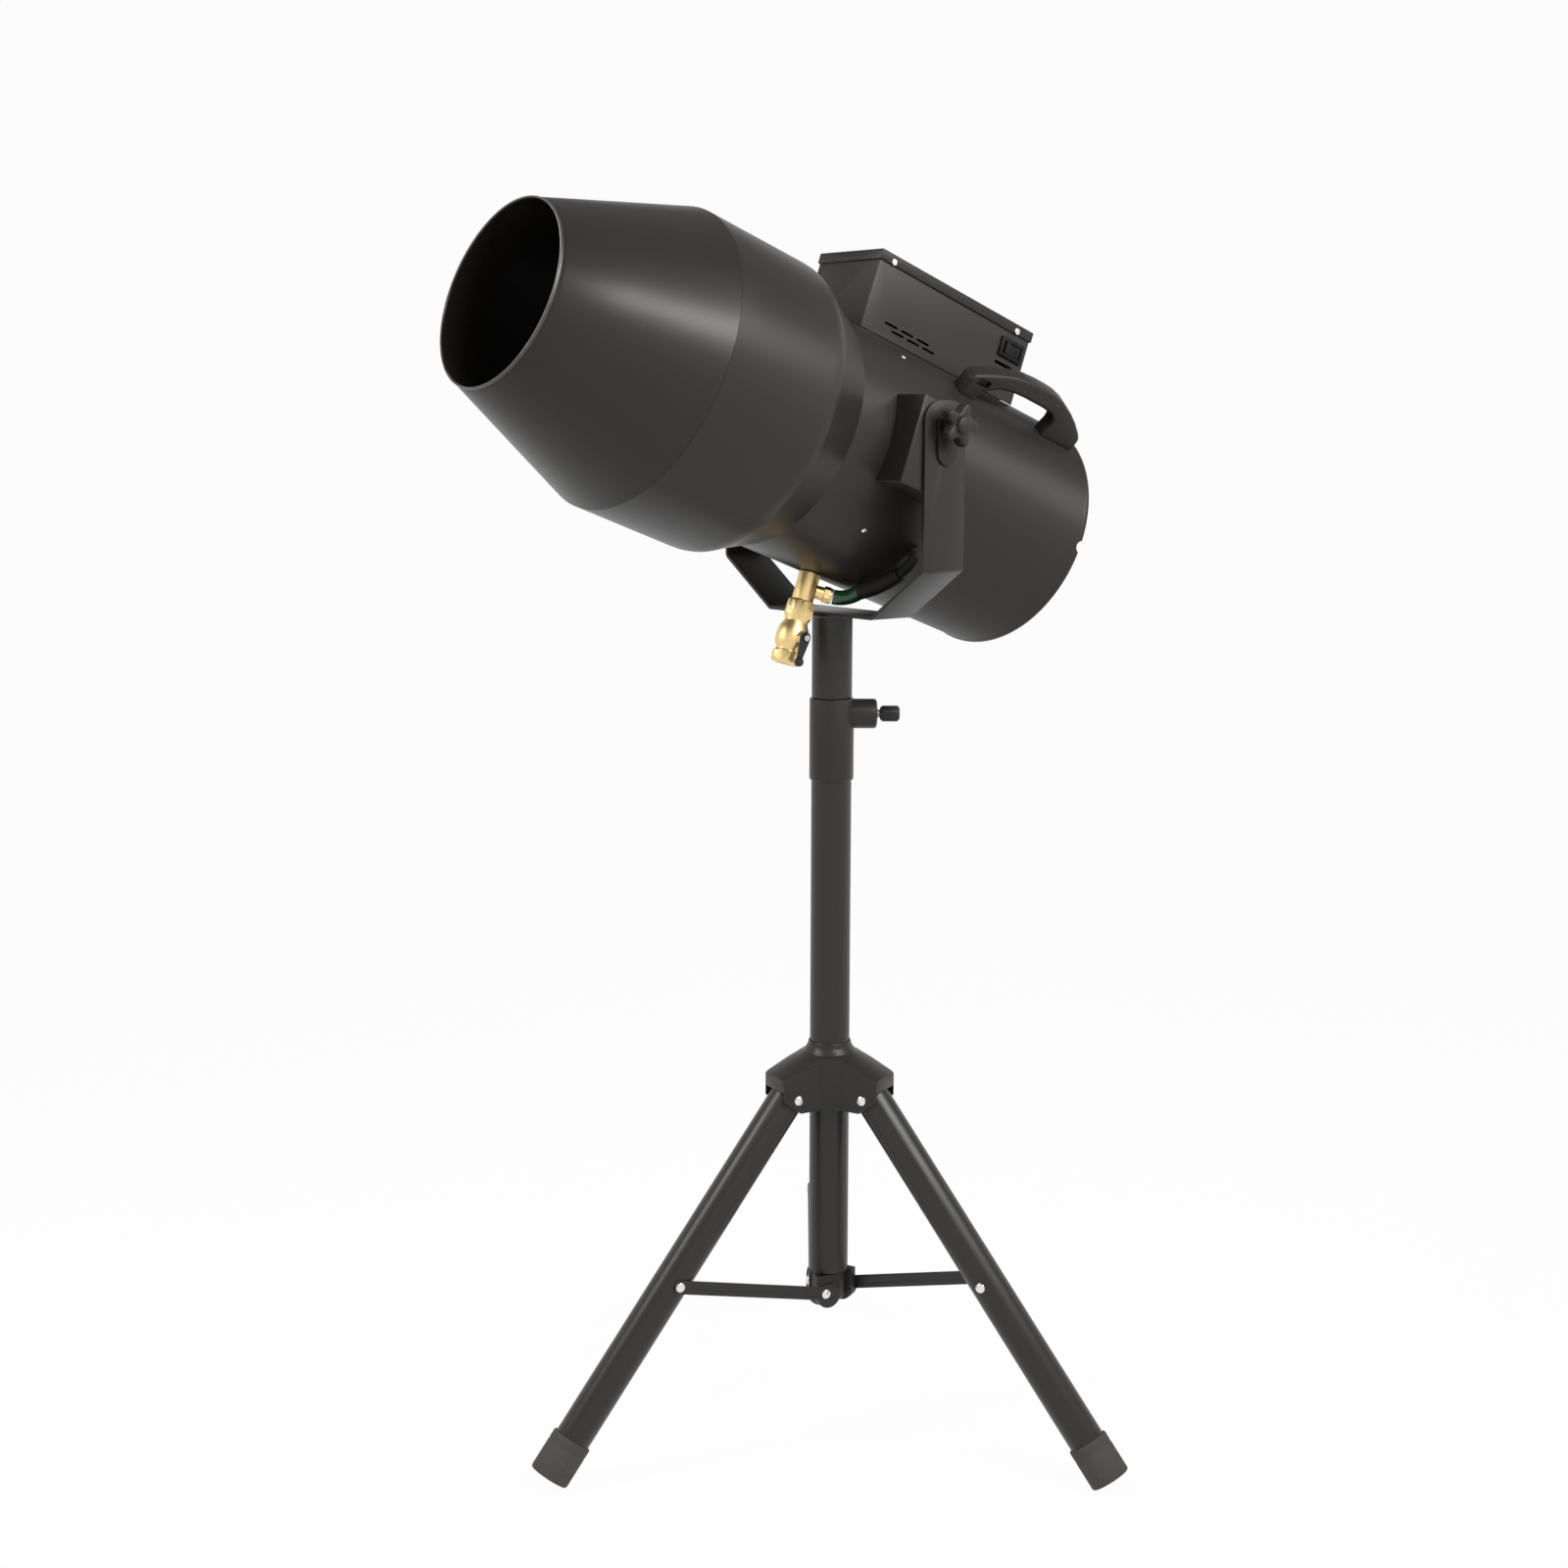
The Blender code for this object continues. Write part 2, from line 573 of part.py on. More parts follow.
def nozzle_cone(barrel):
    t = SHEET
    slope = math.atan2(DRUM_R - MOUTH_R, MOUTH_X - CREASE_X)
    inset = t / math.cos(slope)
    profile = [(MOUTH_R + 0.0008, MOUTH_X - 0.0010), (MOUTH_R + 0.0014, MOUTH_X - 0.0028),
               (MOUTH_R + 0.0008, MOUTH_X - 0.0046), (DRUM_R - 0.0070, CREASE_X + 0.0190),
               (DRUM_R - 0.0022, CREASE_X + 0.0075), (DRUM_R, CREASE_X + GAP),
               (DRUM_R - t, CREASE_X + GAP), (DRUM_R - t - 0.0022, CREASE_X + 0.0075),
               (DRUM_R - inset - 0.0071, CREASE_X + 0.0188), (MOUTH_R - t, MOUTH_X - 0.0040),
               (MOUTH_R - t, MOUTH_X - 0.0010), (MOUTH_R - t / 2, MOUTH_X)]
    put("nozzle_cone", turned(profile, BIG_STEPS, axis="X"), barrel, BLACK_COAT, (0, 0, -AXIS_DROP))


def drum_shell(barrel):
    t = SHEET
    neck = HOUSING_R + 0.0010
    spigot = HOUSING_R - SHEET - GAP
    profile = [(DRUM_R, CREASE_X), (DRUM_R, DRUM_REAR_X + 0.0120), (DRUM_R - 0.0012, DRUM_REAR_X + 0.0040),
               (DRUM_R - 0.0050, DRUM_REAR_X - 0.0040), (neck, HOUSING_FRONT_X + GAP),
               (spigot, HOUSING_FRONT_X + GAP), (spigot, HOUSING_FRONT_X - 0.0240),
               (spigot - t, HOUSING_FRONT_X - 0.0240), (spigot - t, HOUSING_FRONT_X + 0.0030),
               (DRUM_R - t - 0.0052, DRUM_REAR_X - 0.0030), (DRUM_R - t - 0.0014, DRUM_REAR_X + 0.0045),
               (DRUM_R - t, DRUM_REAR_X + 0.0120), (DRUM_R - t, CREASE_X)]
    put("drum_shell", turned(profile, BIG_STEPS, axis="X"), barrel, BLACK_COAT, (0, 0, -AXIS_DROP))


def fan_housing(barrel):
    r, t = HOUSING_R, SHEET
    profile = [(r, HOUSING_FRONT_X), (r, HOUSING_REAR_X + 0.0060), (r + 0.0012, HOUSING_REAR_X + 0.0040),
               (r + 0.0012, HOUSING_REAR_X + 0.0010), (r, HOUSING_REAR_X), (r - t, HOUSING_REAR_X),
               (r - t, HOUSING_FRONT_X)]
    shell = put("fan_housing", turned(profile, BIG_STEPS, axis="X"), barrel, BLACK_COAT, (0, 0, -AXIS_DROP))
    cut(shell, rod(0.0075, -0.13, -0.09), place=(VALVE_X, 0, -AXIS_DROP))
    notch = rod(0.0060, 0.10, 0.13)
    cut(shell, notch, place=(HOUSING_REAR_X - 0.0005, 0, -AXIS_DROP), turn=(-95, 0, 0))


def rear_guard(barrel):
    """A pressed finger guard: rings and spokes left between rows of slots."""
    spokes, bar = 6, 0.0030
    outlines = [circle(HOUSING_R - SHEET - GAP, BIG_STEPS)]
    for inner, outer, pieces in ((0.0240, 0.0400, 1), (0.0430, 0.0590, 2), (0.0620, 0.0780, 3),
                                 (0.0810, 0.0970, 4)):
        for k in range(spokes):
            middle = 360 / spokes * (k + 0.5)
            spread_out = 180 / spokes - math.degrees(bar / 2 / outer)
            spread_in = 180 / spokes - math.degrees(bar / 2 / inner)
            outlines.append(arc(outer, middle - spread_out, middle + spread_out, pieces)
                            + arc(inner, middle + spread_in, middle - spread_in, pieces))
    put("rear_guard", plate(outlines, 0.0020), barrel, BLACK_COAT, (GUARD_X, 0, -AXIS_DROP), (90, 0, 90))


def pivot_pad(barrel, name, side):
    """The welded box bracket that carries the tilt bolt out to the yoke arm."""
    low, high, front, rear, wall = -0.0360, 0.0450, 0.0300, -0.0300, 0.0020
    face = YOKE_ARM_IN - GAP
    size = (front - rear, 0.060, high - low)
    centre = ((front + rear) / 2, side * (face - 0.030), (high + low) / 2)
    pad = put("pivot_pad_" + name, block(size, centre, bevel=0.0012, segments=1), barrel, BLACK_COAT,
              (0, 0, -AXIS_DROP), smooth=False)
    inner = block((size[0] - 2 * wall, 0.070, size[2] - 2 * wall),
                  (centre[0], side * (face - wall - 0.035), centre[2]))
    cut(pad, inner, rod(HOUSING_R + GAP, -0.1, 0.1, BIG_STEPS, axis="X"), place=(0, 0, -AXIS_DROP))
    cut(pad, rod(0.0043, 0.10, 0.16, axis="Y"), turn=(0, 0, 0 if side > 0 else 180))
    tilt_bolt(barrel, name, side)


def tilt_bolt(barrel, name, side):
    """A stud whose head bears on the inside of the pad; the star knob runs on its outer end."""
    inner = YOKE_ARM_IN - 0.0020 - 2 * GAP
    turn = (0, 0, 0 if side > 0 else 180)
    bolt = put("tilt_bolt_" + name, rod(0.0040, inner - 0.002, 0.1640, axis="Y"), barrel, ZINC, turn=turn)
    join(bolt, rod(0.0065, inner - 0.0050, inner, 6, axis="Y"), turn=turn)


def star_knob(barrel, name, side):
    """A five-lobed clamping knob on a round hub, bored for the bolt's end."""
    axis = frame("star_axis_" + name, barrel)
    low = YOKE_ARM_IN + YOKE_SHEET + 0.0020 + 3 * GAP
    turn = (0, 0, 0 if side > 0 else 180)
    count = 25
    outline = []
    for i in range(count):
        a = math.tau * i / count
        r = 0.0155 + 0.0040 * math.cos(5 * a)
        outline.append((r * math.sin(a), r * math.cos(a)))
    knob = put("star_knob_" + name, plate([outline], 0.0120, bevel=0.0020), axis, PLASTIC,
               (0, side * (low + 0.0125), 0), (90, 0, 0))
    join(knob, rod(0.0085, low, low + 0.0105, 20, axis="Y"), rod(0.0080, low + 0.012, low + 0.0215, 20, axis="Y"),
         turn=turn)
    cut(knob, rod(0.0043, low - 0.002, 0.1646, axis="Y"), turn=turn)


# Fan

def motor_mount(barrel):
    """A clamp ring round the motor and four straps out to the housing."""
    ring = [(MOTOR_R + 0.0035, 0.0165), (MOTOR_R + 0.0035, -0.0045), (MOTOR_R + GAP, -0.0045),
            (MOTOR_R + GAP, 0.0165)]
    mount = put("motor_mount", turned(ring, 24, axis="X"), barrel, BLACK_COAT, (0, 0, -AXIS_DROP))
    reach = HOUSING_R - SHEET - GAP
    length = reach - MOTOR_R - 0.0010
    strap = block((0.0240, 0.0180, length), (0.0060, 0, MOTOR_R + 0.0010 + length / 2), 0.0006, 1)
    for angle in STRAP_ANGLES:
        join(mount, strap.copy(), place=(0, 0, -AXIS_DROP), turn=(-angle, 0, 0))
    keep(mount, rod(reach, -0.05, 0.05, BIG_STEPS, axis="X"), place=(0, 0, -AXIS_DROP))


def fan_motor(barrel):
    r = MOTOR_R
    profile = [(0, MOTOR_FRONT_X), (r - 0.008, MOTOR_FRONT_X), (r, MOTOR_FRONT_X - 0.008), (r, -0.0080),
               (r, MOTOR_REAR_X + 0.006), (r - 0.006, MOTOR_REAR_X), (0.0120, MOTOR_REAR_X),
               (0.0110, MOTOR_REAR_X - 0.0050), (0.0050, MOTOR_REAR_X - 0.0050),
               (0.0050, FAN_REAR_X + 0.006), (0, FAN_REAR_X + 0.006)]
    put("fan_motor", turned(profile, 24, closed=False, axis="X"), barrel, ZINC, (0, 0, -AXIS_DROP))


def blade():
    """One pitched blade as a twisted grid that Solidify thickens."""
    rows, columns = 4, 4
    points, faces = [], []
    for i in range(rows):
        r = HUB_R - 0.006 + (BLADE_TIP_R - HUB_R + 0.006) * i / (rows - 1)
        pitch = math.radians(52 - 22 * i / (rows - 1))
        chord = 0.044 + 0.016 * i / (rows - 1)
        for j in range(columns):
            u = j / (columns - 1) - 0.5
            camber = 0.006 * (0.25 - u * u)
            along = u * chord * math.sin(pitch) + camber * math.cos(pitch)
            around = (u * chord * math.cos(pitch) - camber * math.sin(pitch)) / r
            points.append((along * 0.98, r * math.sin(around), r * math.cos(around)))
    for i in range(rows - 1):
        for j in range(columns - 1):
            a = i * columns + j
            faces.append((a, a + 1, a + columns + 1, a + columns))
    source = bpy.data.meshes.new("blade")
    source.from_pydata(points, [], faces)
    helper = bpy.data.objects.new("blade", source)
    bpy.context.scene.collection.objects.link(helper)
    wall = helper.modifiers.new("wall", "SOLIDIFY")
    wall.thickness = 0.0022
    wall.offset = 0.0
    return evaluated_mesh(helper)


def impeller(spin):
    middle = (FAN_FRONT_X + FAN_REAR_X) / 2
    bore = 0.0053
    profile = [(HUB_R - 0.004, FAN_FRONT_X), (HUB_R, FAN_FRONT_X - 0.004), (HUB_R, FAN_REAR_X + 0.008),
               (HUB_R - 0.010, FAN_REAR_X), (0, FAN_REAR_X - 0.004), (0, FAN_REAR_X + 0.0056),
               (bore, FAN_REAR_X + 0.0056), (bore, FAN_FRONT_X)]
    profile.append(profile[0])
    wheel = put("impeller", turned(profile, 24, closed=False, axis="X"), spin, PLASTIC, (0, 0, 0))
    shape = blade()
    for k in range(BLADE_COUNT):
        join(wheel, shape.copy(), place=(middle, 0, 0), turn=(360 / BLADE_COUNT * k, 0, 0))


# Foam making

def foam_screen(barrel):
    """The perforated disc in front of the spray, whose holes carry the fine net."""
    outlines = [circle(DRUM_R - SHEET - GAP, BIG_STEPS)]
    pitch = 0.0440
    rings = 2
    for i in range(-rings, rings + 1):
        for j in range(-rings, rings + 1):
            x, y = pitch * (i + j / 2), pitch * j * math.sqrt(3) / 2
            if math.hypot(x, y) < (rings + 0.5) * pitch:
                outlines.append(circle(0.0195, 6, (x, y), math.radians(30)))
    put("foam_screen", plate(outlines, 0.0016), barrel, ZINC, (CREASE_X - 0.0080, 0, -AXIS_DROP), (90, 0, 90))


def smooth_bend(points, radius, count=5):
    """A route through the corners with each inner corner rounded to the radius."""
    route = [Vector(points[0])]
    for before, corner, after in zip(points, points[1:], points[2:]):
        before, corner, after = Vector(before), Vector(corner), Vector(after)
        into, out = (corner - before).normalized(), (after - corner).normalized()
        half = into.angle(out) / 2
        start = corner - into * radius * math.tan(half)
        middle = start + (out - into * out.dot(into)).normalized() * radius
        normal = into.cross(out).normalized()
        for i in range(count + 1):
            turn = Matrix.Rotation(2 * half * i / count, 3, normal)
            route.append(middle + turn @ (start - middle))
    route.append(Vector(points[-1]))
    return [tuple(p) for p in route]


def spray_pipe(barrel):
    run = -0.0940
    points = [(VALVE_X, 0, -0.1030), (VALVE_X, 0, run), (0.1380, 0, run), (0.1380, 0, 0.0), (0.1535, 0, 0.0)]
    put("spray_pipe", wire(smooth_bend(points, 0.0085), 0.0050), barrel, ZINC, (0, 0, -AXIS_DROP))


def spray_nozzle(barrel):
    profile = [(0, 0.1800), (0.0030, 0.1800), (0.0095, 0.1720), (0.0105, 0.1700), (0.0105, 0.1600),
               (0.0080, 0.1590), (0.0080, 0.1538), (0, 0.1538)]
    put("spray_nozzle", turned(profile, 16, closed=False, axis="X"), barrel, BRASS, (0, 0, -AXIS_DROP))


# Control box

def control_box(barrel):
    t = BOX_SHEET
    length, middle = BOX_FRONT_X - BOX_REAR_X, (BOX_FRONT_X + BOX_REAR_X) / 2
    height = BOX_TOP - BOX_SKIRT
    centre_z = (BOX_TOP + BOX_SKIRT) / 2
    box = put("control_box", block((length, 2 * BOX_HALF, height), (middle, 0, centre_z)), barrel, BLACK_COAT,
              (0, 0, -AXIS_DROP), smooth=False)
    room = block((length - 2 * t, 2 * (BOX_HALF - t), height + 0.02), (middle, 0, centre_z))
    cut(box, room, rod(HOUSING_R + 0.0007, -0.3, 0.2, BIG_STEPS, axis="X"), place=(0, 0, -AXIS_DROP))
    slot = block((0.0160, 0.010, 0.0022), bevel=0.0)
    for row, starts in ((0.1180, (0.018, -0.0025, -0.023)), (0.1133, (0.008, -0.012, -0.032))):
        for start in starts:
            for side in (1, -1):
                cut(box, slot.copy(), place=(start - 0.008, side * BOX_HALF, row - AXIS_DROP))
    cut(box, block((0.0270, 0.01, 0.0150)), place=(SWITCH_X, BOX_HALF, SWITCH_Z - AXIS_DROP))
    cut(box, block((0.0240, 0.01, 0.0030)), place=(-0.1340, BOX_HALF, 0.1360 - AXIS_DROP))
    cut(box, rod(0.0088, -0.01, 0.01, 16, axis="X"), place=(BOX_REAR_X, -0.022, 0.1420 - AXIS_DROP))


def box_lid(barrel):
    t = BOX_SHEET
    half, front, rear = BOX_HALF + GAP + t, BOX_FRONT_X + GAP + t, BOX_REAR_X - GAP - t
    lid = put("box_lid", block((front - rear, 2 * half, LID_FLANGE), ((front + rear) / 2, 0, LID_TOP - LID_FLANGE / 2),
                               bevel=0.0008, segments=1), barrel, BLACK_COAT, (0, 0, -AXIS_DROP), smooth=False)
    cut(lid, block((front - rear - 2 * t, 2 * (half - t), LID_FLANGE),
                   ((front + rear) / 2, 0, LID_TOP - t - LID_FLANGE / 2)), place=(0, 0, -AXIS_DROP))


def control_board(barrel):
    """The circuit board on four pillars, with its relay, transformer and terminal block."""
    z = 0.1234
    board = put("control_board", block((0.1000, 0.0700, 0.0016), (-0.0200, 0, z + 0.0008)), barrel, BOARD_GREEN,
                (0, 0, -AXIS_DROP), smooth=False)
    for x in (-0.064, 0.024):
        for y in (-0.029, 0.029):
            join(board, rod(0.0030, 0.1102, z + 0.0008, 8), place=(x, y, -AXIS_DROP))
    join(board, block((0.030, 0.026, 0.024), (0.008, -0.016, z + 0.0130)),
         block((0.020, 0.016, 0.015), (-0.024, 0.018, z + 0.0085)),
         block((0.034, 0.012, 0.012), (-0.044, -0.024, z + 0.0070)), place=(0, 0, -AXIS_DROP))


def run_capacitor(barrel):
    profile = [(0, 0.030), (0.0155, 0.030), (0.0170, 0.0285), (0.0170, -0.0285), (0.0155, -0.030), (0, -0.030)]
    z = HOUSING_R + GAP + 0.0170
    put("run_capacitor", turned(profile, 20, closed=False, axis="Y"), barrel, PLASTIC,
        (-0.0960, 0, z - AXIS_DROP))


def switch_body(barrel):
    low = BOX_HALF - 0.018
    bezel = BOX_HALF + GAP
    body = put("switch_body", block((0.0262, 0.020, 0.0142), (0, low + 0.0100, 0)), barrel, PLASTIC,
               (SWITCH_X, 0, SWITCH_Z - AXIS_DROP), smooth=False)
    join(body, block((0.0310, 0.0022, 0.0190), (0, bezel + 0.0011, 0), 0.0006, 1),
         place=(SWITCH_X, 0, SWITCH_Z - AXIS_DROP))
    cut(body, block((0.0226, 0.020, 0.0116), (0, BOX_HALF + 0.0020, 0)), place=(SWITCH_X, 0, SWITCH_Z - AXIS_DROP))


def power_rocker(barrel):
    rocker = frame("rocker_axis", barrel, (SWITCH_X, BOX_HALF - 0.0015, SWITCH_Z - AXIS_DROP), (0, 0, 6))
    outline = [(-0.0100, -0.0018), (0.0100, -0.0018), (0.0102, 0.0044), (0.0, 0.0030), (-0.0102, 0.0044)]
    put("power_rocker", plate([outline], 0.0108), rocker, PLASTIC, smooth=False)


def cable_gland(barrel):
    """The mains gland in the box's rear wall, empty: a flange, a hexagon and a dome nut with its bore."""
    wall = -BOX_REAR_X
    profile = [(0.0085, -(wall - 0.008)), (0.0085, -(wall + GAP)), (0.0120, -(wall + GAP)),
               (0.0120, -(wall + 0.0060)), (0.0100, -(wall + 0.0070)), (0.0100, -(wall + 0.0170)),
               (0.0075, -(wall + 0.0210)), (0.0052, -(wall + 0.0210)), (0.0052, -(wall - 0.008))]
    put("cable_gland", turned(profile, 12, axis="X"), barrel, PLASTIC, (0, -0.022, 0.1420 - AXIS_DROP))


# Carry handle

def carry_handle(barrel):
    """A moulded arch between two feet that sit on the housing."""
    outer = [(-0.213, 0.106), (-0.217, 0.122), (-0.209, 0.131), (-0.198, 0.1380), (-0.185, 0.1445),
             (-0.169, 0.1505), (-0.145, 0.1537), (-0.115, 0.1527), (-0.100, 0.1495), (-0.086, 0.1445),
             (-0.072, 0.1385), (-0.061, 0.1325), (-0.060, 0.106)]
    inner = [(-0.081, 0.106), (-0.081, 0.1195), (-0.096, 0.1320), (-0.110, 0.1352), (-0.126, 0.1362),
             (-0.153, 0.1362), (-0.168, 0.1342), (-0.173, 0.1275), (-0.172, 0.106)]
    handle = put("carry_handle", plate([outer + inner], HANDLE_WIDTH, bevel=0.0030), barrel, PLASTIC,
                 (0, 0, -AXIS_DROP), (90 - HANDLE_ANGLE, 0, 0))
    cut(handle, rod(HOUSING_R + GAP, -0.3, 0.0, BIG_STEPS, axis="X"), place=(0, 0, -AXIS_DROP))
    pocket = block((0.0150, 0.0080, 0.0100), bevel=0.0015, segments=1)
    angle = math.radians(HANDLE_ANGLE)
    lift = 0.1310
    side = HANDLE_WIDTH / 2
    place = (-0.0755, lift * math.sin(angle) + side * math.cos(angle),
             lift * math.cos(angle) - side * math.sin(angle) - AXIS_DROP)
    cut(handle, pocket, place=place, turn=(90 - HANDLE_ANGLE, 0, 0))


# Water side

def inlet_nipple(barrel):
    """The brass tube that passes the housing wall and carries the valve."""
    profile = [(0.0070, -0.1033), (0.0070, -HOUSING_R - GAP), (NIPPLE_R, -HOUSING_R - GAP),
               (NIPPLE_R, NIPPLE_END), (0.0050, NIPPLE_END), (0.0050, -0.1033)]
    put("inlet_nipple", turned(profile, 20), barrel, BRASS, (VALVE_X, 0, -AXIS_DROP))


def valve_body(barrel):
    top = NIPPLE_END - GAP
    r = VALVE_R
    z = VALVE_BALL_Z
    profile = [(r - 0.001, top), (r, top - 0.001), (r, z + 0.0160), (r - 0.0015, z + 0.0150),
               (r - 0.0010, z + 0.0120), (0.0145, z + 0.0060), (0.0148, z), (0.0145, z - 0.0060),
               (r - 0.0010, z - 0.0120), (r - 0.0015, z - 0.0140), (0.0145, z - 0.0150),
               (0.0145, VALVE_END + 0.001), (0.0135, VALVE_END), (0.0062, VALVE_END), (0.0062, top)]
    place = (VALVE_X, 0, -AXIS_DROP)
    valve = put("valve_body", turned(profile, 12), barrel, BRASS, place)
    join(valve, rod(0.0062, 0.0100, 0.0180, axis="Y"), place=(VALVE_X, 0, z - AXIS_DROP))
    cut(valve, ball(0.0096, (0, 0, z)), place=place)
    cut(valve, rod(0.0034, 0.0, 0.0300, axis="Y"), place=(VALVE_X, 0, z - AXIS_DROP))


def valve_ball(turn_frame):
    sphere = put("valve_ball", ball(0.0090, (0, 0, 0)), turn_frame, ZINC)
    join(sphere, rod(0.0030, 0.0060, 0.0232, axis="Y"))
    cut(sphere, rod(0.0050, -0.02, 0.02))


def valve_lever(turn_frame):
    """A flat arm on the stem with a round grip at its end."""
    outline = arc(0.0056, 0, 180, 8) + [(-0.0028, -0.0200), (0.0028, -0.0200)]
    lever = put("valve_lever", plate([outline, circle(0.0033, SMALL_STEPS)], 0.0026), turn_frame, PLASTIC,
                (0, 0.0198, 0), (90, 0, 0))
    join(lever, ball(0.0044, (0, 0.0205, -0.0230)))


def hose_route(first, last):
    """Points along the hose from the branch round the housing, as (x, y, z) about the barrel axis."""
    points = []
    heading = math.radians(BRANCH_ANGLE)
    x, y = VALVE_X - HOSE_START * math.cos(heading), HOSE_START * math.sin(heading)
    bend = 0.0300
    final = math.radians(84.0)
    steps = 7
    for i in range(steps + 1):
        a = heading + (final - heading) * i / steps
        points.append((x - bend * (math.sin(a) - math.sin(heading)), y + bend * (math.cos(heading) - math.cos(a))))
    rings = [HOSE_START_R + (HOSE_RING_R - HOSE_START_R) * (i / steps) ** 2 for i in range(steps + 1)]
    level = [(px, py, -math.sqrt(ring ** 2 - py ** 2)) for ring, (px, py) in zip(rings, points)]
    reached = math.degrees(math.asin(points[-1][1] / HOSE_RING_R))
    side = points[-1][0]
    rise = 180 - PORT_ANGLE - 8.0
    count = 6
    for i in range(1, count + 1):
        angle = math.radians(reached + (rise - reached) * i / count)
        level.append((side - 0.006 * i / count, HOSE_RING_R * math.sin(angle), -HOSE_RING_R * math.cos(angle)))
    return level[first:last]


def hose_nut(barrel):
    """The hexagon nut and its stub that hold the hose against the side of the nipple."""
    level = -math.sqrt(HOSE_START_R ** 2 - (HOSE_START * math.sin(math.radians(BRANCH_ANGLE))) ** 2)
    place, turn = (VALVE_X, 0, level - AXIS_DROP), (0, 0, 180 - BRANCH_ANGLE)
    nut = put("hose_nut", rod(0.0079, 0.0170, HOSE_START - 0.0030, 6, axis="X"), barrel, BRASS, place, turn,
              smooth=False)
    join(nut, rod(0.0062, NIPPLE_R + 0.0010, 0.0180, 12, axis="X"),
         rod(0.0072, HOSE_START - 0.0040, HOSE_START - 0.0010, 16, axis="X"), place=place, turn=turn)


def bypass_hose(barrel):
    put("bypass_hose", wire(hose_route(0, None), HOSE_R, 3), barrel, HOSE_GREEN, (0, 0, -AXIS_DROP))


def hose_port(barrel):
    """The elbow on the housing that the hose's far end pushes up to."""
    end = hose_route(0, None)[-1]
    reached = math.degrees(math.atan2(end[1], -end[2]))
    angles = [reached + 0.5 + (180 - PORT_ANGLE - reached - 2.5) * i / 2 for i in range(3)]
    route = [(end[0], HOSE_RING_R * math.sin(math.radians(a)), -HOSE_RING_R * math.cos(math.radians(a)))
             for a in angles]
    a = math.radians(180 - PORT_ANGLE + 1.0)
    corner_r = HOSE_RING_R - 0.0008
    route.append((end[0], corner_r * math.sin(a), -corner_r * math.cos(a)))
    a = math.radians(180 - PORT_ANGLE + 3.0)
    for r in (HOSE_RING_R - 0.0035, HOUSING_R + 0.0012):
        route.append((end[0], r * math.sin(a), -r * math.cos(a)))
    put("hose_port", wire(route, 0.0055, 2), barrel, BRASS, (0, 0, -AXIS_DROP))


# Assembly

stand = frame("stand", place=(POLE_X, POLE_Y, 0))
column_tube(stand)
height_collar(stand)
clamp_knob(stand)
lower_bracket(stand)

slide = frame("hub_slide", stand)
leg_hub(stand, slide)
hub_lock_screw(slide)
for leg_name, leg_azimuth in LEG_AZIMUTHS.items():
    brace(stand, leg_name, leg_azimuth)

mast = frame("mast", stand)
mast_tube(mast)
mast_bush(mast)

yoke = frame("yoke", mast, turn=(0, 0, PAN_ANGLE))
yoke_socket(yoke)
yoke_bracket(yoke)

barrel = frame("barrel", yoke, (PIVOT_X, 0, PIVOT_Z), (0, -TILT_ANGLE, 0))
for side_name, side_sign in (("left", 1), ("right", -1)):
    pivot_keeper(yoke, side_name, side_sign)
    pivot_pad(barrel, side_name, side_sign)
    star_knob(barrel, side_name, side_sign)
nozzle_cone(barrel)
drum_shell(barrel)
fan_housing(barrel)
rear_guard(barrel)
motor_mount(barrel)
fan_motor(barrel)
impeller(frame("impeller_axis", barrel, (0, 0, -AXIS_DROP)))
foam_screen(barrel)
spray_pipe(barrel)
spray_nozzle(barrel)
control_box(barrel)
box_lid(barrel)
control_board(barrel)
run_capacitor(barrel)
switch_body(barrel)
power_rocker(barrel)
cable_gland(barrel)
carry_handle(barrel)
inlet_nipple(barrel)
valve_body(barrel)
valve_turn = frame("valve_turn", barrel, (VALVE_X, 0, VALVE_BALL_Z - AXIS_DROP))
valve_ball(valve_turn)
valve_lever(valve_turn)
hose_nut(barrel)
bypass_hose(barrel)
hose_port(barrel)
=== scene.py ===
"""Foam machine on a folding tripod stand: the finished pieces and their looks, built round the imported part."""

import math

import bmesh
import bpy
from mathutils import Matrix, Vector


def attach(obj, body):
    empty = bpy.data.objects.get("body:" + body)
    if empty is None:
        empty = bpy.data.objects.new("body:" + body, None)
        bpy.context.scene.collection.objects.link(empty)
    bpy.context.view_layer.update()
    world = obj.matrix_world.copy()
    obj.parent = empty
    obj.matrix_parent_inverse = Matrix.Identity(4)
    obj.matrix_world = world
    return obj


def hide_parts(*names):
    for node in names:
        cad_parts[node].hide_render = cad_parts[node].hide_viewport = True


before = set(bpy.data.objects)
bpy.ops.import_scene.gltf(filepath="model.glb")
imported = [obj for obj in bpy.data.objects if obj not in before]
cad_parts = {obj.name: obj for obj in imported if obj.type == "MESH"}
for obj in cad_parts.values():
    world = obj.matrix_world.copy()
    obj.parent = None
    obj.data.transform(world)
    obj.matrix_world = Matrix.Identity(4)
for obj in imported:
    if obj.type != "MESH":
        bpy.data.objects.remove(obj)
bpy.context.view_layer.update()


# Column: the fixed 38 mm steel tube that everything slides on or stands on, painted gloss black.
# It is drawn tube with square cut ends, plugged by the lower bracket and capped by the height collar.
def move_by(x, y, z):
    return Matrix.Translation((x, y, z))


def turn_by(degrees, axis):
    return Matrix.Rotation(math.radians(degrees), 4, axis)


pole_x, pole_y = 0.02966, -0.01243
pole = move_by(pole_x, pole_y, 0.0)
AXIS_X, AXIS_Y = turn_by(90, "Y"), turn_by(-90, "X")


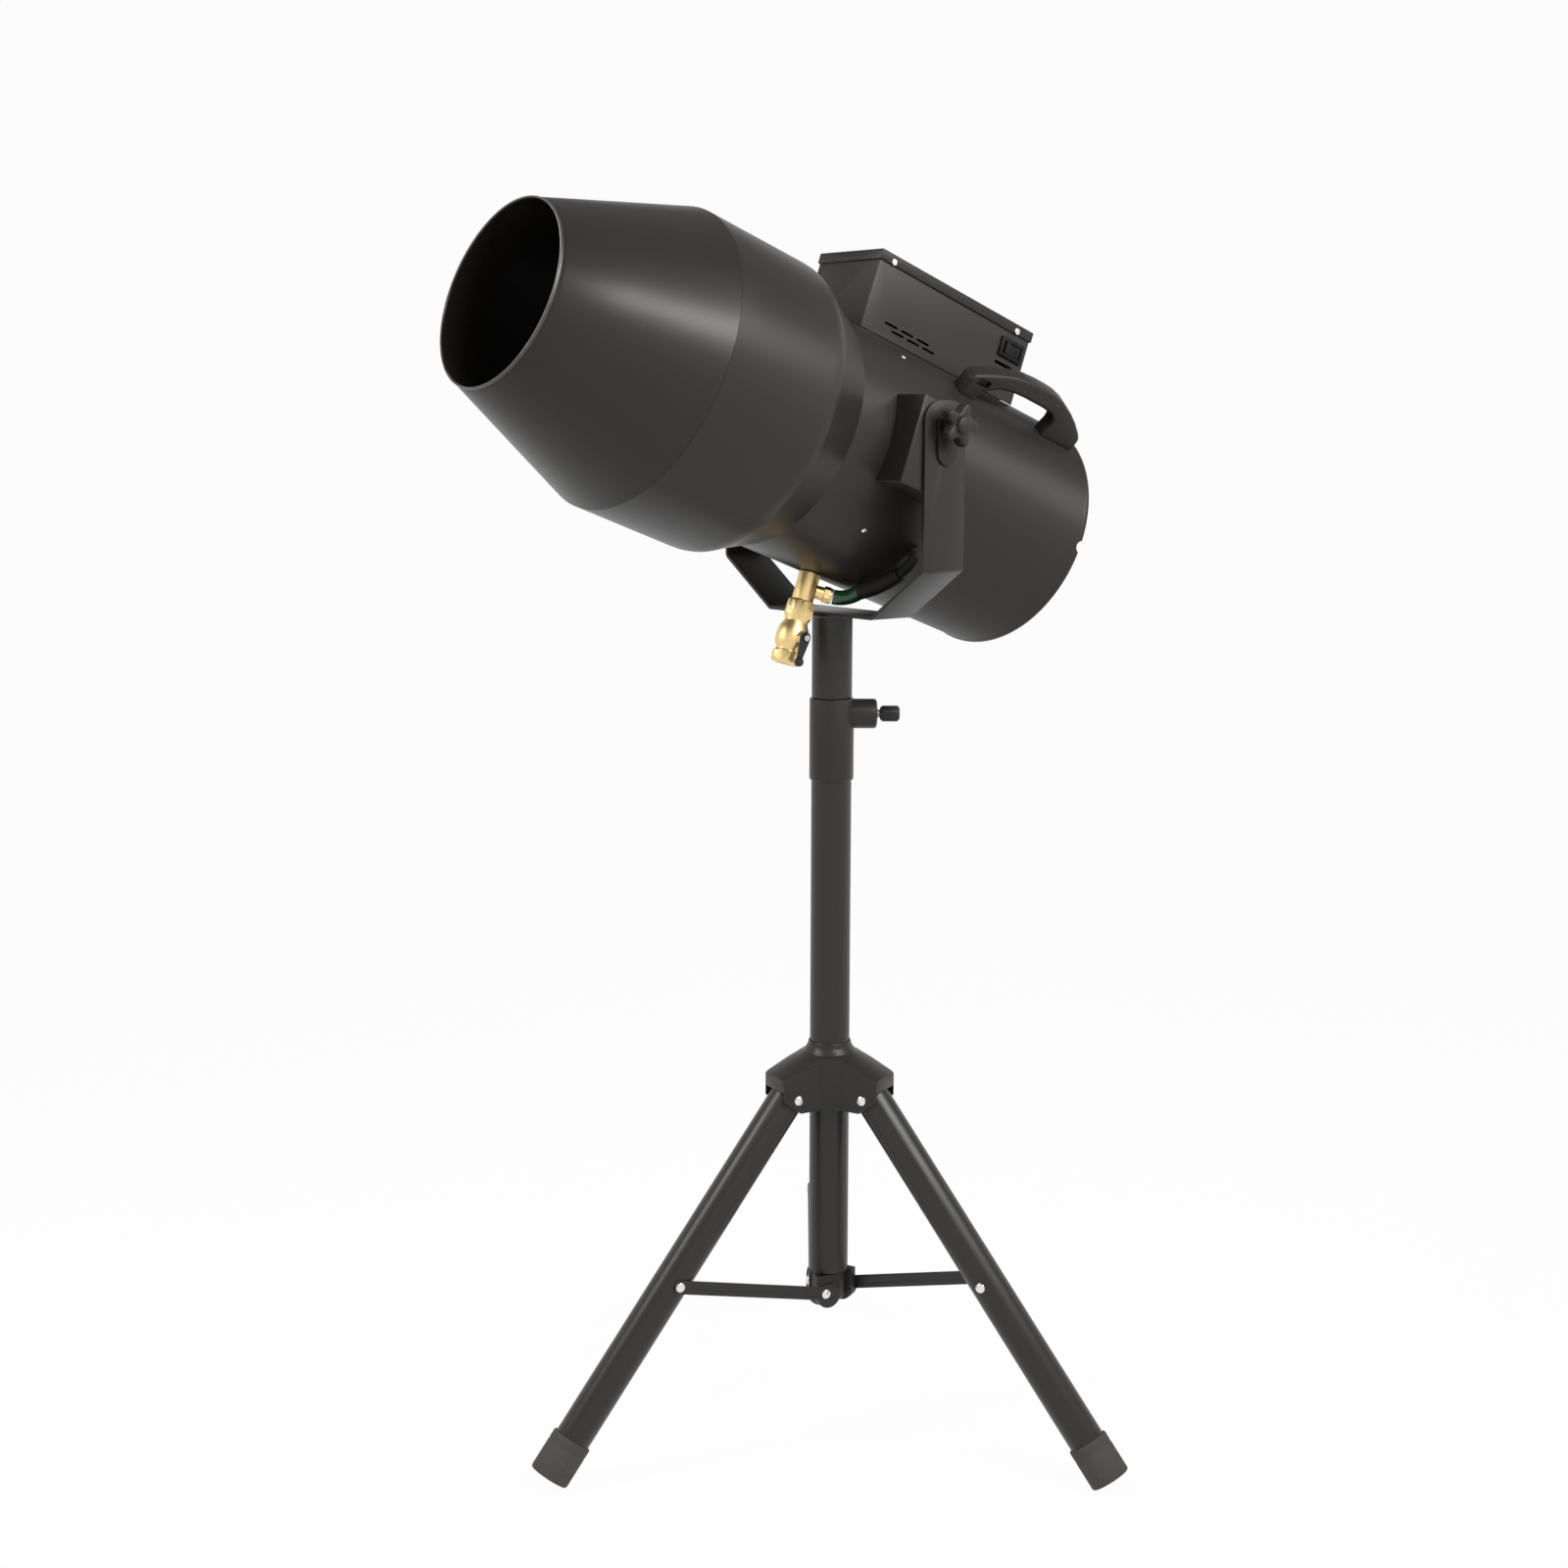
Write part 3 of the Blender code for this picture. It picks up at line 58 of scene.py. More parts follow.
def spun(profile, steps=96, closed=False):
    """A turned mesh from (radius, height) points that run down the outer side, about Z."""
    rings, verts, faces = [], [], []
    for radius, height in profile:
        if radius < 1e-7:
            rings.append([len(verts)])
            verts.append((0, 0, height))
            continue
        rings.append(range(len(verts), len(verts) + steps))
        verts += [(radius * math.cos(math.tau * i / steps), radius * math.sin(math.tau * i / steps), height)
                  for i in range(steps)]
    pairs = list(zip(rings, rings[1:])) + ([(rings[-1], rings[0])] if closed else [])
    for upper, lower in pairs:
        for i in range(steps):
            j = (i + 1) % steps
            ring = [upper[i % len(upper)], lower[i % len(lower)], lower[j % len(lower)], upper[j % len(upper)]]
            ring = list(dict.fromkeys(ring))
            if len(ring) > 2:
                faces.append(ring)
    mesh = bpy.data.meshes.new("spun")
    mesh.from_pydata(verts, [], faces)
    return tidy(mesh)


def rod(radius, top, low, steps=96):
    """A plain round rod about Z, from its top down to its low end."""
    return spun([(0, top), (radius, top), (radius, low), (0, low)], steps)


def moved(mesh, place):
    mesh.transform(place)
    return mesh


def written(bm, mesh=None):
    """The mesh, or a new one, filled from the editing copy."""
    mesh = mesh or bpy.data.meshes.new("piece")
    bm.to_mesh(mesh)
    bm.free()
    return mesh


def tidy(mesh):
    """Welds the doubles of a mesh and points its faces outwards."""
    bm = bmesh.new()
    bm.from_mesh(mesh)
    bmesh.ops.remove_doubles(bm, verts=bm.verts, dist=0.000002)
    bmesh.ops.recalc_face_normals(bm, faces=bm.faces)
    return written(bm, mesh)


def eased(points, radius, count=4, closed=False):
    """A flat outline with its corners rounded off to the radius, as far as its sides allow."""
    points = [Vector(p) for p in points]
    result = [] if closed else [tuple(points[0])]
    numbers = range(len(points)) if closed else range(1, len(points) - 1)
    for i in numbers:
        before, corner, after = points[i - 1], points[i], points[(i + 1) % len(points)]
        into, out = corner - before, after - corner
        turn = into.angle(out)
        if turn < math.radians(8):
            result.append(tuple(corner))
            continue
        cut = min(radius * math.tan(turn / 2), into.length * 0.45, out.length * 0.45)
        start, end = corner - into.normalized() * cut, corner + out.normalized() * cut
        for k in range(count + 1):
            t = k / count
            result.append(tuple(start * (1 - t) ** 2 + corner * 2 * t * (1 - t) + end * t ** 2))
    return result if closed else result + [tuple(points[-1])]


def settle(name, mesh, place, material, body, node=None, angle=32):
    """Puts a finished mesh in place as one piece that rides on its body and stands for its node."""
    mesh.transform(place)
    mesh.materials.clear()
    for item in material if isinstance(material, (list, tuple)) else [material]:
        mesh.materials.append(item)
    mesh.shade_smooth()
    mesh.set_sharp_from_angle(angle=math.radians(angle))
    piece = bpy.data.objects.new(name, mesh)
    bpy.context.scene.collection.objects.link(piece)
    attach(piece, body)
    if node:
        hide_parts(node)


def wired(node, inputs):
    """Sets the node's inputs to values, or links them where an output is given."""
    for socket, source in inputs.items():
        if isinstance(source, bpy.types.NodeSocket):
            node.id_data.links.new(source, node.inputs[socket])
        else:
            node.inputs[socket].default_value = source
    return node


def adder(tree):
    """A function that adds a node to the tree with its settings and inputs."""
    def add(kind, inputs=None, **settings):
        node = tree.nodes.new(kind)
        for key, value in settings.items():
            setattr(node, key, value)
        return wired(node, inputs or {})
    return add


def surface_life():
    """The small unevenness of a coated or moulded skin: fine grain, soft blotches and sparse specks."""
    group = bpy.data.node_groups.new("surface_life", "ShaderNodeTree")
    for label, value in (("Grain Size", 900.0), ("Grain Depth", 0.5), ("Blotch Size", 14.0), ("Speck", 0.3)):
        group.interface.new_socket(label, in_out="INPUT", socket_type="NodeSocketFloat").default_value = value
    for label in ("Blotch", "Specks", "Height"):
        group.interface.new_socket(label, in_out="OUTPUT", socket_type="NodeSocketFloat")
    add = adder(group)
    given, where = add("NodeGroupInput").outputs, add("ShaderNodeTexCoord").outputs["Object"]

    def noise(scale, detail):
        return add("ShaderNodeTexNoise", {"Vector": where, "Scale": scale, "Detail": detail}).outputs["Fac"]

    def product(value, share):
        return add("ShaderNodeMath", {0: value, 1: share}, operation="MULTIPLY").outputs[0]

    few = add("ShaderNodeMapRange", {"Value": noise(420.0, 1.0), "From Min": 0.68, "From Max": 0.76})
    add("NodeGroupOutput", {"Blotch": noise(given["Blotch Size"], 3.0),
                            "Specks": product(few.outputs["Result"], given["Speck"]),
                            "Height": product(noise(given["Grain Size"], 2.0), given["Grain Depth"])})
    return group


LIFE = surface_life()


def skin(name, colour, other, rough, rough_other, metallic=0.0, grain=900.0, depth=0.4, blotch=14.0,
         speck=0.3, speck_colour=(0.16, 0.15, 0.14), bump=0.0004, coat=0.0, coat_rough=0.1, specular=0.5):
    """A finish whose colour and roughness drift between two values, with fine relief and a few specks."""
    material = bpy.data.materials.new(name)
    material.use_nodes = True
    add = adder(material.node_tree)
    life = add("ShaderNodeGroup", {"Grain Size": grain, "Grain Depth": depth, "Blotch Size": blotch,
                                   "Speck": speck}, node_tree=LIFE).outputs
    base = add("ShaderNodeMix", {"Factor": life["Blotch"], "A": (*colour, 1), "B": (*other, 1)}, data_type="RGBA")
    dotted = add("ShaderNodeMix", {"Factor": life["Specks"], "A": base.outputs["Result"], "B": (*speck_colour, 1)},
                 data_type="RGBA")
    gloss = add("ShaderNodeMapRange", {"Value": life["Blotch"], "From Min": 0.3, "From Max": 0.7,
                                       "To Min": rough, "To Max": rough_other})
    relief = add("ShaderNodeBump", {"Strength": 0.6, "Distance": bump, "Height": life["Height"]})
    wired(material.node_tree.nodes["Principled BSDF"], {
        "Base Color": dotted.outputs["Result"], "Metallic": metallic, "Roughness": gloss.outputs["Result"],
        "Specular IOR Level": specular, "Coat Weight": coat, "Coat Roughness": coat_rough,
        "Normal": relief.outputs["Normal"]})
    return material


enamel = skin("gloss_black_enamel", (0.012, 0.0102, 0.0092), (0.016, 0.0138, 0.0124), 0.33, 0.38, grain=300,
              depth=0.2, bump=0.00002, speck=0.03, specular=0.45)
column_profile = [(0.0188, 0.6940), (0.0190, 0.6938), (0.0190, 0.1562), (0.0188, 0.1560), (0.0174, 0.1560),
                  (0.0174, 0.6940)]
settle("column", spun(column_profile, 96, True), pole, enamel, "column", "column_tube")


# Height collar: a moulded sleeve pressed over the column's top, with a round boss for the clamp screw.
# The mast slides through it, and the yoke's socket comes down on its flat upper end.
plastic = skin("moulded_black_plastic", (0.016, 0.0142, 0.0130), (0.021, 0.0190, 0.0176), 0.38, 0.50, grain=1400,
               depth=0.6, bump=0.0003, specular=0.28)
coat = skin("satin_powder_coat", (0.0200, 0.0168, 0.0148), (0.0232, 0.0198, 0.0176), 0.33, 0.38, grain=1100,
            depth=0.5, blotch=5.0, bump=0.00008, speck=0.04, specular=0.32)


def baked(helper, *others):
    """The plain mesh that an object's curve or modifiers make, with the objects that they need."""
    for one in (helper, *others):
        bpy.context.scene.collection.objects.link(one)
    mesh = bpy.data.meshes.new_from_object(helper.evaluated_get(bpy.context.evaluated_depsgraph_get()))
    for one in (helper, *others):
        bpy.data.objects.remove(one, do_unlink=True)
    return mesh


def joined(first, second, how="UNION"):
    """The Boolean of two closed meshes, as a new mesh."""
    pair = [bpy.data.objects.new("carve", m) for m in (first, second)]
    step = pair[0].modifiers.new("carve", "BOOLEAN")
    step.operation, step.solver, step.object = how, "EXACT", pair[1]
    return tidy(baked(*pair))


def carved(mesh, *tools):
    """What is left of a closed mesh when others are cut out of it."""
    for tool in tools:
        mesh = joined(mesh, tool, "DIFFERENCE")
    return mesh


def softened(mesh, width, segments=2, angle=35):
    """The mesh with its sharp edges rounded to the width."""
    helper = bpy.data.objects.new("soften", mesh)
    step = helper.modifiers.new("round", "BEVEL")
    step.width, step.segments, step.limit_method = width, segments, "ANGLE"
    step.angle_limit, step.harden_normals, step.use_clamp_overlap = math.radians(angle), False, True
    return baked(helper)


collar_top, collar_low, boss_level = 0.7177, 0.6403, 0.7030
sleeve = spun([(0, collar_top), (0.0202, collar_top), (0.0207, collar_top - 0.0003), (0.0209, collar_top - 0.0009),
               (0.0209, collar_low + 0.0020), (0.0205, collar_low + 0.0006), (0.0199, collar_low), (0, collar_low)])
boss = spun([(0, 0.0426), (0.0100, 0.0426), (0.0126, 0.0420), (0.0137, 0.0408), (0.0140, 0.0390),
             (0.0140, 0.0050), (0, 0.0050)], 64)
boss_line = move_by(0, 0, boss_level) @ AXIS_X
collar = carved(joined(sleeve, moved(boss, boss_line)), rod(0.0193, 0.6943, 0.62), rod(0.0158, 0.75, 0.68),
                moved(rod(0.0043, 0.06, 0.010, 32), boss_line))
settle("height_collar_sleeve", collar, pole, coat, "column", "height_collar")


# Clamp knob: a small ribbed knob on an M8 screw that presses on the mast through the boss.
# Its ribs are moulded, with a rough spark-eroded skin.
knob_black = skin("rough_knob_plastic", (0.006, 0.0055, 0.005), (0.010, 0.009, 0.0085), 0.45, 0.65, grain=700,
                  depth=1.0, bump=0.0006, speck=0.5, speck_colour=(0.05, 0.05, 0.05))
zinc = skin("bright_zinc", (0.50, 0.50, 0.48), (0.62, 0.62, 0.60), 0.24, 0.36, metallic=1.0, grain=260, depth=0.5,
            blotch=60, bump=0.0001, speck=0.1)


def merged(*meshes):
    """Several meshes in one, each keeping its own faces."""
    bm = bmesh.new()
    for mesh in meshes:
        bm.from_mesh(mesh)
    return written(bm)


def grown(build, values, source=None):
    """Runs a Geometry Nodes tree, built once by its own function, and gives back the plain mesh that it makes."""
    name = build.__name__
    kinds = {float: "Float", int: "Int", bpy.types.Object: "Object", bpy.types.Material: "Material"}
    if name not in bpy.data.node_groups:
        tree = bpy.data.node_groups.new(name, "GeometryNodeTree")
        for in_out in ("INPUT", "OUTPUT"):
            tree.interface.new_socket("Geometry", in_out=in_out, socket_type="NodeSocketGeometry")
        for label, value in values.items():
            tree.interface.new_socket(label, in_out="INPUT", socket_type="NodeSocket" + kinds[type(value)])
        add = adder(tree)
        given = add("NodeGroupInput").outputs
        real = add("GeometryNodeRealizeInstances", {"Geometry": build(add, given)})
        painted = add("GeometryNodeSetMaterial", {"Geometry": real.outputs["Geometry"],
                                                  "Material": given["Finish"]})
        add("NodeGroupOutput", {"Geometry": painted.outputs["Geometry"]})
    helper = bpy.data.objects.new("grow", source or bpy.data.meshes.new("empty"))
    step = helper.modifiers.new("grow", "NODES")
    step.node_group = bpy.data.node_groups[name]
    for item in step.node_group.interface.items_tree:
        if item.in_out == "INPUT" and item.name in values:
            step[item.identifier] = values[item.name]
    return baked(helper)


def ring_of_copies(add, given):
    """Copies of one shape set round the Z axis."""
    line = add("GeometryNodeMeshLine", {"Count": given["Count"], "Offset": (0, 0, 0)}, mode="OFFSET")
    index = add("GeometryNodeInputIndex")
    step = add("ShaderNodeMath", {0: math.tau, 1: given["Count"]}, operation="DIVIDE")
    turn = add("ShaderNodeMath", {0: index.outputs["Index"], 1: step.outputs[0]}, operation="MULTIPLY")
    spin = add("ShaderNodeCombineXYZ", {"Z": turn.outputs[0]})
    shape = add("GeometryNodeObjectInfo", {"Object": given["Shape"]}, transform_space="ORIGINAL")
    placed = add("GeometryNodeInstanceOnPoints", {
        "Points": line.outputs["Mesh"], "Instance": shape.outputs["Geometry"], "Rotation": spin.outputs[0]})
    return placed.outputs["Instances"]


def round_about(shape, count, finish):
    """A mesh repeated round the Z axis, by the ring tree."""
    one = bpy.data.objects.new("one_of_ring", shape)
    mesh = grown(ring_of_copies, {"Count": count, "Shape": one, "Finish": finish})
    bpy.data.objects.remove(one, do_unlink=True)
    return mesh


def bar_mesh(size, centre=(0, 0, 0), edge=0.0, segments=2):
    """A block with rounded edges."""
    bm = bmesh.new()
    bmesh.ops.create_cube(bm, size=1.0)
    bmesh.ops.scale(bm, vec=size, verts=bm.verts)
    if edge:
        bmesh.ops.bevel(bm, geom=list(bm.edges), offset=edge, segments=segments, affect="EDGES", profile=0.5)
    bmesh.ops.translate(bm, vec=centre, verts=bm.verts)
    return written(bm)


clamp_centre = pole @ boss_line
grip = spun([(0, 0.0638), (0.0048, 0.0638), (0.0062, 0.0632), (0.0066, 0.0622), (0.0064, 0.0560), (0.0066, 0.0470),
             (0.0060, 0.0456), (0.0045, 0.0452), (0, 0.0452)], 48)
rib = bar_mesh((0.0022, 0.0019, 0.0150), (0.0064, 0, 0.0546), 0.0006, 2)
knob = merged(grip, round_about(rib, 10, knob_black))
settle("clamp_knob_grip", knob, clamp_centre, knob_black, "clamp_screw", "clamp_knob")
thread = [(0, 0.0460), (0.0040, 0.0460)]
for i in range(29):
    thread += [(0.0040, 0.0455 - i * 0.0010), (0.0034, 0.0450 - i * 0.0010)]
settle("clamp_screw_thread", spun(thread + [(0.0030, 0.0161), (0, 0.0161)], 32), clamp_centre, zinc, "clamp_screw")


# Lower bracket: a moulded plug pushed into the column's foot, with three ears for the braces' rivets.
# The ears stand beside the braces like the blades of a pinwheel.
azimuths = {"front_left": -60.0, "front_right": 60.0, "rear": 180.0}


def leg_frame(azimuth, x, y, z):
    """A place counted from the floor at the pole: x outwards at the azimuth, y square to the leg, z up."""
    return pole @ turn_by(azimuth - 90.0, "Z") @ move_by(x, y, z)


def lay(data, points):
    """Adds a line through flat or spatial points to a curve."""
    spline = data.splines.new("POLY")
    spline.points.add(len(points) - 1)
    for point, place in zip(spline.points, points):
        point.co = (*Vector(place).to_3d(), 1)
    return spline


def slab(outline, thickness, edge=0.0, segments=2, holes=()):
    """A flat plate in the XZ plane, its thickness along Y, with rounded edges."""
    data = bpy.data.curves.new("slab", "CURVE")
    data.dimensions, data.fill_mode = "2D", "BOTH"
    for points in [outline, *holes]:
        lay(data, points).use_cyclic_u = True
    data.extrude, data.bevel_depth, data.bevel_resolution = thickness / 2 - edge, edge, segments
    data.offset = -edge
    return tidy(moved(baked(bpy.data.objects.new("slab", data)), turn_by(90, "X")))


def arc(radius, first, last, count, centre=(0, 0)):
    """Points on a flat arc, angles in degrees."""
    turns = [math.radians(first + (last - first) * i / count) for i in range(count + 1)]
    return [(centre[0] + radius * math.cos(a), centre[1] + radius * math.sin(a)) for a in turns]


plug = spun([(0, 0.1997), (0.0150, 0.1997), (0.0171, 0.1977), (0.0171, 0.1557), (0.0163, 0.1557), (0.0165, 0.1550),
             (0.0165, 0.1300), (0.0150, 0.1268), (0.0120, 0.1250), (0, 0.1250)], 72)
settle("lower_bracket_plug", plug, pole, plastic, "column", "lower_bracket")
brace_out, brace_level = 0.0133, 0.1371
ear = slab(arc(0.0128, 180, 360, 28, (-0.0048, -0.0030)) + [(0.0080, 0.0180), (-0.0176, 0.0180)], 0.0087, 0.0010, 2)
for leg, azimuth in azimuths.items():
    settle("bracket_ear_" + leg, ear.copy(), leg_frame(azimuth, brace_out, 0.01285, brace_level),
           plastic, "column")


# Rivets: tubular steel rivets with domed, nickel-bright heads hold the hub, legs and braces together.
# Each head is set on its plate with a thin shadow line round it.
nickel = skin("nickel_rivet", (0.74, 0.73, 0.70), (0.82, 0.81, 0.79), 0.16, 0.26, metallic=1.0, grain=300,
              depth=0.4, blotch=90, bump=0.00008, speck=0.0)


def heads_on_points(add, given):
    """One head on every point of the source, turned along the point's own aim."""
    aim = add("GeometryNodeInputNamedAttribute", {"Name": "aim"}, data_type="FLOAT_VECTOR")
    turned = add("FunctionNodeAlignRotationToVector", {"Vector": aim.outputs["Attribute"]}, axis="Z")
    shape = add("GeometryNodeObjectInfo", {"Object": given["Head"]}, transform_space="ORIGINAL")
    placed = add("GeometryNodeInstanceOnPoints", {
        "Points": given["Geometry"], "Instance": shape.outputs["Geometry"], "Rotation": turned.outputs["Rotation"]})
    return placed.outputs["Instances"]


def studded(name, spots, head, place, finish, body):
    """Heads set at (point, aim) spots, all in one mesh that rides on the body."""
    source = bpy.data.meshes.new("spots")
    source.from_pydata([point for point, _ in spots], [], [])
    aims = source.attributes.new("aim", "FLOAT_VECTOR", "POINT")
    aims.data.foreach_set("vector", [c for _, aim in spots for c in aim])
    one = bpy.data.objects.new("one_head", head)
    mesh = grown(heads_on_points, {"Head": one, "Finish": finish}, source)
    bpy.data.objects.remove(one, do_unlink=True)
    settle(name, mesh, place, finish, body)


def rivet_head(radius=0.0048, height=0.0021, shank=0.0006):
    """A domed head that stands on the XY plane, with a short shank under it."""
    points = [(0, height)] + [(radius * math.sin(math.radians(a)), height * math.cos(math.radians(a)))
                              for a in (18, 36, 52, 66, 78, 87)]
    return spun(points + [(radius, 0.0), (radius * 0.9, -0.0001), (radius * 0.6, -shank), (0, -shank)], 40)


for leg, azimuth in azimuths.items():
    at = leg_frame(azimuth, brace_out, 0, brace_level)
    shank = moved(rod(0.0030, 0.0194, 0.0120, 32), AXIS_Y)
    head = moved(rivet_head(), move_by(0, 0.0189, 0) @ AXIS_Y)
    settle("brace_rivet_" + leg, merged(shank, head), at, nickel, "column", "brace_pin_" + leg)


# Leg hub: a pressed steel crown that slides on the column, with a neck ring and three pairs of cheeks.
# It is pressed and welded, then powder coated; each leg swings between its own two cheeks.
def hub_plan():
    """Plan of the hub: three pairs of cheeks, with a short flat between neighbours."""
    points = []
    for azimuth in sorted(azimuths.values()):
        out = Vector((math.sin(math.radians(azimuth)), -math.cos(math.radians(azimuth))))
        side = Vector((-out.y, out.x))
        for reach, t in ((0.0234, -1), (0.0610, -1), (0.0610, 1), (0.0234, 1)):
            points.append(tuple(out * reach + side * t * 0.0200))
    return points


leg_lean, leg_radius, leg_tip = math.radians(37.84), 0.0170, 0.0120
pin_out, pin_level, stud_down = 0.0457, 0.3371, 0.2055


def leg_room():
    """The room a leg's top needs about its pin, from hanging straight down to spread."""
    wide, tall, low = leg_radius + 0.0006, leg_tip + 0.0050, 0.08
    lean_cos, lean_sin = math.cos(leg_lean), math.sin(leg_lean)
    outline = [(-wide, -low), (low * lean_sin + wide, -low)]
    for degrees in range(0, 66, 6):
        x, z = wide * math.cos(math.radians(degrees)), tall * math.sin(math.radians(degrees))
        outline.append((x * lean_cos - z * lean_sin, x * lean_sin + z * lean_cos))
    return outline + [(wide * math.cos(math.radians(a)), tall * math.sin(math.radians(a)))
                      for a in range(108, 181, 8)]


crown = slab(eased(hub_plan(), 0.004, 3, True), 0.066)
crown.transform(move_by(0, 0, 0.3568) @ AXIS_Y)
dome = spun([(0, 0.3868), (0.0199, 0.3868), (0.0203, 0.3862), (0.0206, 0.3846), (0.0212, 0.3826),
             (0.0222, 0.3806), (0.0235, 0.3790), (0.0246, 0.3776), (0.0252, 0.3766), (0.0262, 0.3760),
             (0.0400, 0.3694), (0.0600, 0.3592), (0.0630, 0.3573), (0.0650, 0.3545), (0.0658, 0.3500),
             (0.0660, 0.3380), (0.0460, 0.3230), (0, 0.3230)], 144)
rooms = [moved(slab(leg_room(), 0.0352), pole.inverted() @ leg_frame(azimuth, pin_out, 0, pin_level))
         for azimuth in azimuths.values()]
crown = carved(joined(crown, dome, "INTERSECT"), rod(0.0194, 0.40, 0.30), *rooms)
settle("leg_hub_crown", softened(crown, 0.0006), pole, coat, "hub", "leg_hub", 40)
for leg, azimuth in azimuths.items():
    at = leg_frame(azimuth, pin_out, 0, pin_level)
    near = moved(rivet_head(), move_by(0, 0.0203, 0) @ AXIS_Y)
    far = moved(rivet_head(), move_by(0, -0.0203, 0) @ turn_by(90, "X"))
    shank = moved(rod(0.0030, 0.0207, -0.0207, 32), AXIS_Y)
    settle("leg_rivet_" + leg, merged(near, far, shank), at, nickel, "hub", "leg_pin_" + leg)


# Hub lock screw: a ribbed knob between two of the hub's cheeks whose screw bears on the column.
# Loosened, it lets the hub slide up and the legs fold in.
lock_at = pole @ turn_by(-60, "Z") @ move_by(0, 0, 0.3450) @ AXIS_Y
lock = spun([(0, 0.0493), (0.0050, 0.0493), (0.0066, 0.0486), (0.0070, 0.0471), (0.0067, 0.0391), (0.0070, 0.0321),
             (0.0062, 0.0305), (0.0030, 0.0303), (0.0030, 0.0196), (0, 0.0196)], 48)
lock_rib = bar_mesh((0.0018, 0.0020, 0.0155), (0.0068, 0, 0.0398), 0.0006, 2)
settle("hub_lock_knob", merged(lock, round_about(lock_rib, 10, knob_black)), lock_at, knob_black, "hub_lock",
       "hub_lock_screw")


# Legs: 34 mm tube painted gloss black, each with a domed top plug, a brace rivet through it
# and a rubber cup pushed over its lower end.
rubber = skin("grey_rubber", (0.062, 0.056, 0.051), (0.078, 0.071, 0.065), 0.72, 0.85, grain=500, depth=1.0,
              blotch=40, bump=0.0006, speck=0.6, speck_colour=(0.12, 0.11, 0.10), specular=0.3)
leg_end = -0.4150
for leg, azimuth in azimuths.items():
    hang = leg_frame(azimuth, pin_out, 0, pin_level) @ Matrix.Rotation(-leg_lean, 4, "Y")
    top = [(0, leg_tip)] + [(leg_radius * math.cos(math.radians(a)), leg_tip * math.sin(math.radians(a)))
                            for a in range(80, -1, -10)]
    tube = spun(top + [(leg_radius, leg_end + 0.0078), (leg_radius - 0.0005, leg_end + 0.0073),
                       (0.0154, leg_end + 0.0073), (0.0154, -0.014), (0, -0.014)], 96)
    bush = spun([(0, 0.0172), (0.0058, 0.0172), (0.0062, 0.0170), (0.0062, 0.0150), (0, 0.0150)], 40)
    bush.transform(move_by(0, 0, -stud_down) @ AXIS_Y)
    settle("leg_tube_" + leg, merged(tube, bush), hang, enamel, "leg_" + leg, "leg_" + leg)
    back_head = moved(rivet_head(), move_by(0, -leg_radius + 0.0004, -stud_down) @ turn_by(90, "X"))
    settle("leg_brace_rivet_" + leg, back_head, hang, nickel, "leg_" + leg)
    rim, low = leg_end + 0.040, leg_end
    cup = spun([(0.0173, rim), (0.0188, rim), (0.0192, rim - 0.0005), (0.0193, rim - 0.0020),
                (0.0193, rim - 0.0080), (0.0190, rim - 0.0088), (0.0190, rim - 0.0100), (0.0193, rim - 0.0108),
                (0.0193, low + 0.0022), (0.0188, low + 0.0006), (0.0178, low), (0, low), (0, low + 0.0070),
                (0.0173, low + 0.0070), (0.0173, rim)], 96)
    # cut level with the floor
    under = bar_mesh((0.3, 0.3, 0.2), (0.25, 0, -pin_level - 0.1))
    cup = carved(moved(cup, Matrix.Rotation(-leg_lean, 4, "Y")), under)
    cup.transform(Matrix.Rotation(leg_lean, 4, "Y"))
    settle("foot_cup_" + leg, cup, hang, rubber, "leg_" + leg, "foot_" + leg)


# Braces: flat steel bars with pressed grooves that tie each leg to the lower bracket.
# They swing up beside the column when the hub slides up.
reach = Vector((pin_out + stud_down * math.sin(leg_lean) - brace_out,
                pin_level - stud_down * math.cos(leg_lean) - brace_level))
brace_thick, brace_middle = 0.0018, -0.0015
for leg, azimuth in azimuths.items():
    hinge = (leg_frame(azimuth, brace_out, 0.0195, brace_level)
             @ Matrix.Rotation(-math.atan2(reach.y, reach.x), 4, "Y"))
    ends = arc(0.0120, 44, 336, 30, (-0.0040, -0.0017)) + arc(0.0066, -90, 90, 24, (reach.length, 0))
    bar = slab(ends, brace_thick, 0.0006, 3, [arc(0.0033, 0, 345, 23)])
    for face in (brace_thick / 2, -brace_thick / 2):
        groove = bar_mesh((reach.length - 0.042, 0.0008, 0.0030), (reach.length / 2 + 0.003, face, 0), 0.0004, 3)
        bar = carved(bar, groove)
    bar.transform(move_by(0, brace_middle, 0))
    settle("brace_bar_" + leg, bar, hinge, enamel, "brace_" + leg, "brace_" + leg)
    head = moved(rivet_head(), move_by(reach.length, -0.0009, 0) @ AXIS_Y)
    settle("brace_leg_rivet_" + leg, head, hinge, nickel, "brace_" + leg)


# Mast: a plated 31 mm tube that slides up inside the column and carries the yoke.
# A moulded sleeve on its foot keeps it straight in the column.
mast = [(0.0155, 0.7965), (0.0155, 0.3002), (0.0153, 0.3000), (0.0140, 0.3000), (0.0140, 0.7965)]
settle("mast", spun(mast, 96, True), pole, zinc, "mast", "mast_tube")
mast_foot = [(0.0133, 0.3137), (0.0137, 0.3133), (0.0137, 0.2997), (0.0171, 0.2997), (0.0171, 0.2964),
             (0.0167, 0.2960), (0.0100, 0.2960), (0.0100, 0.3137)]
settle("mast_sleeve", spun(mast_foot, 72, True), pole, plastic, "mast", "mast_bush")


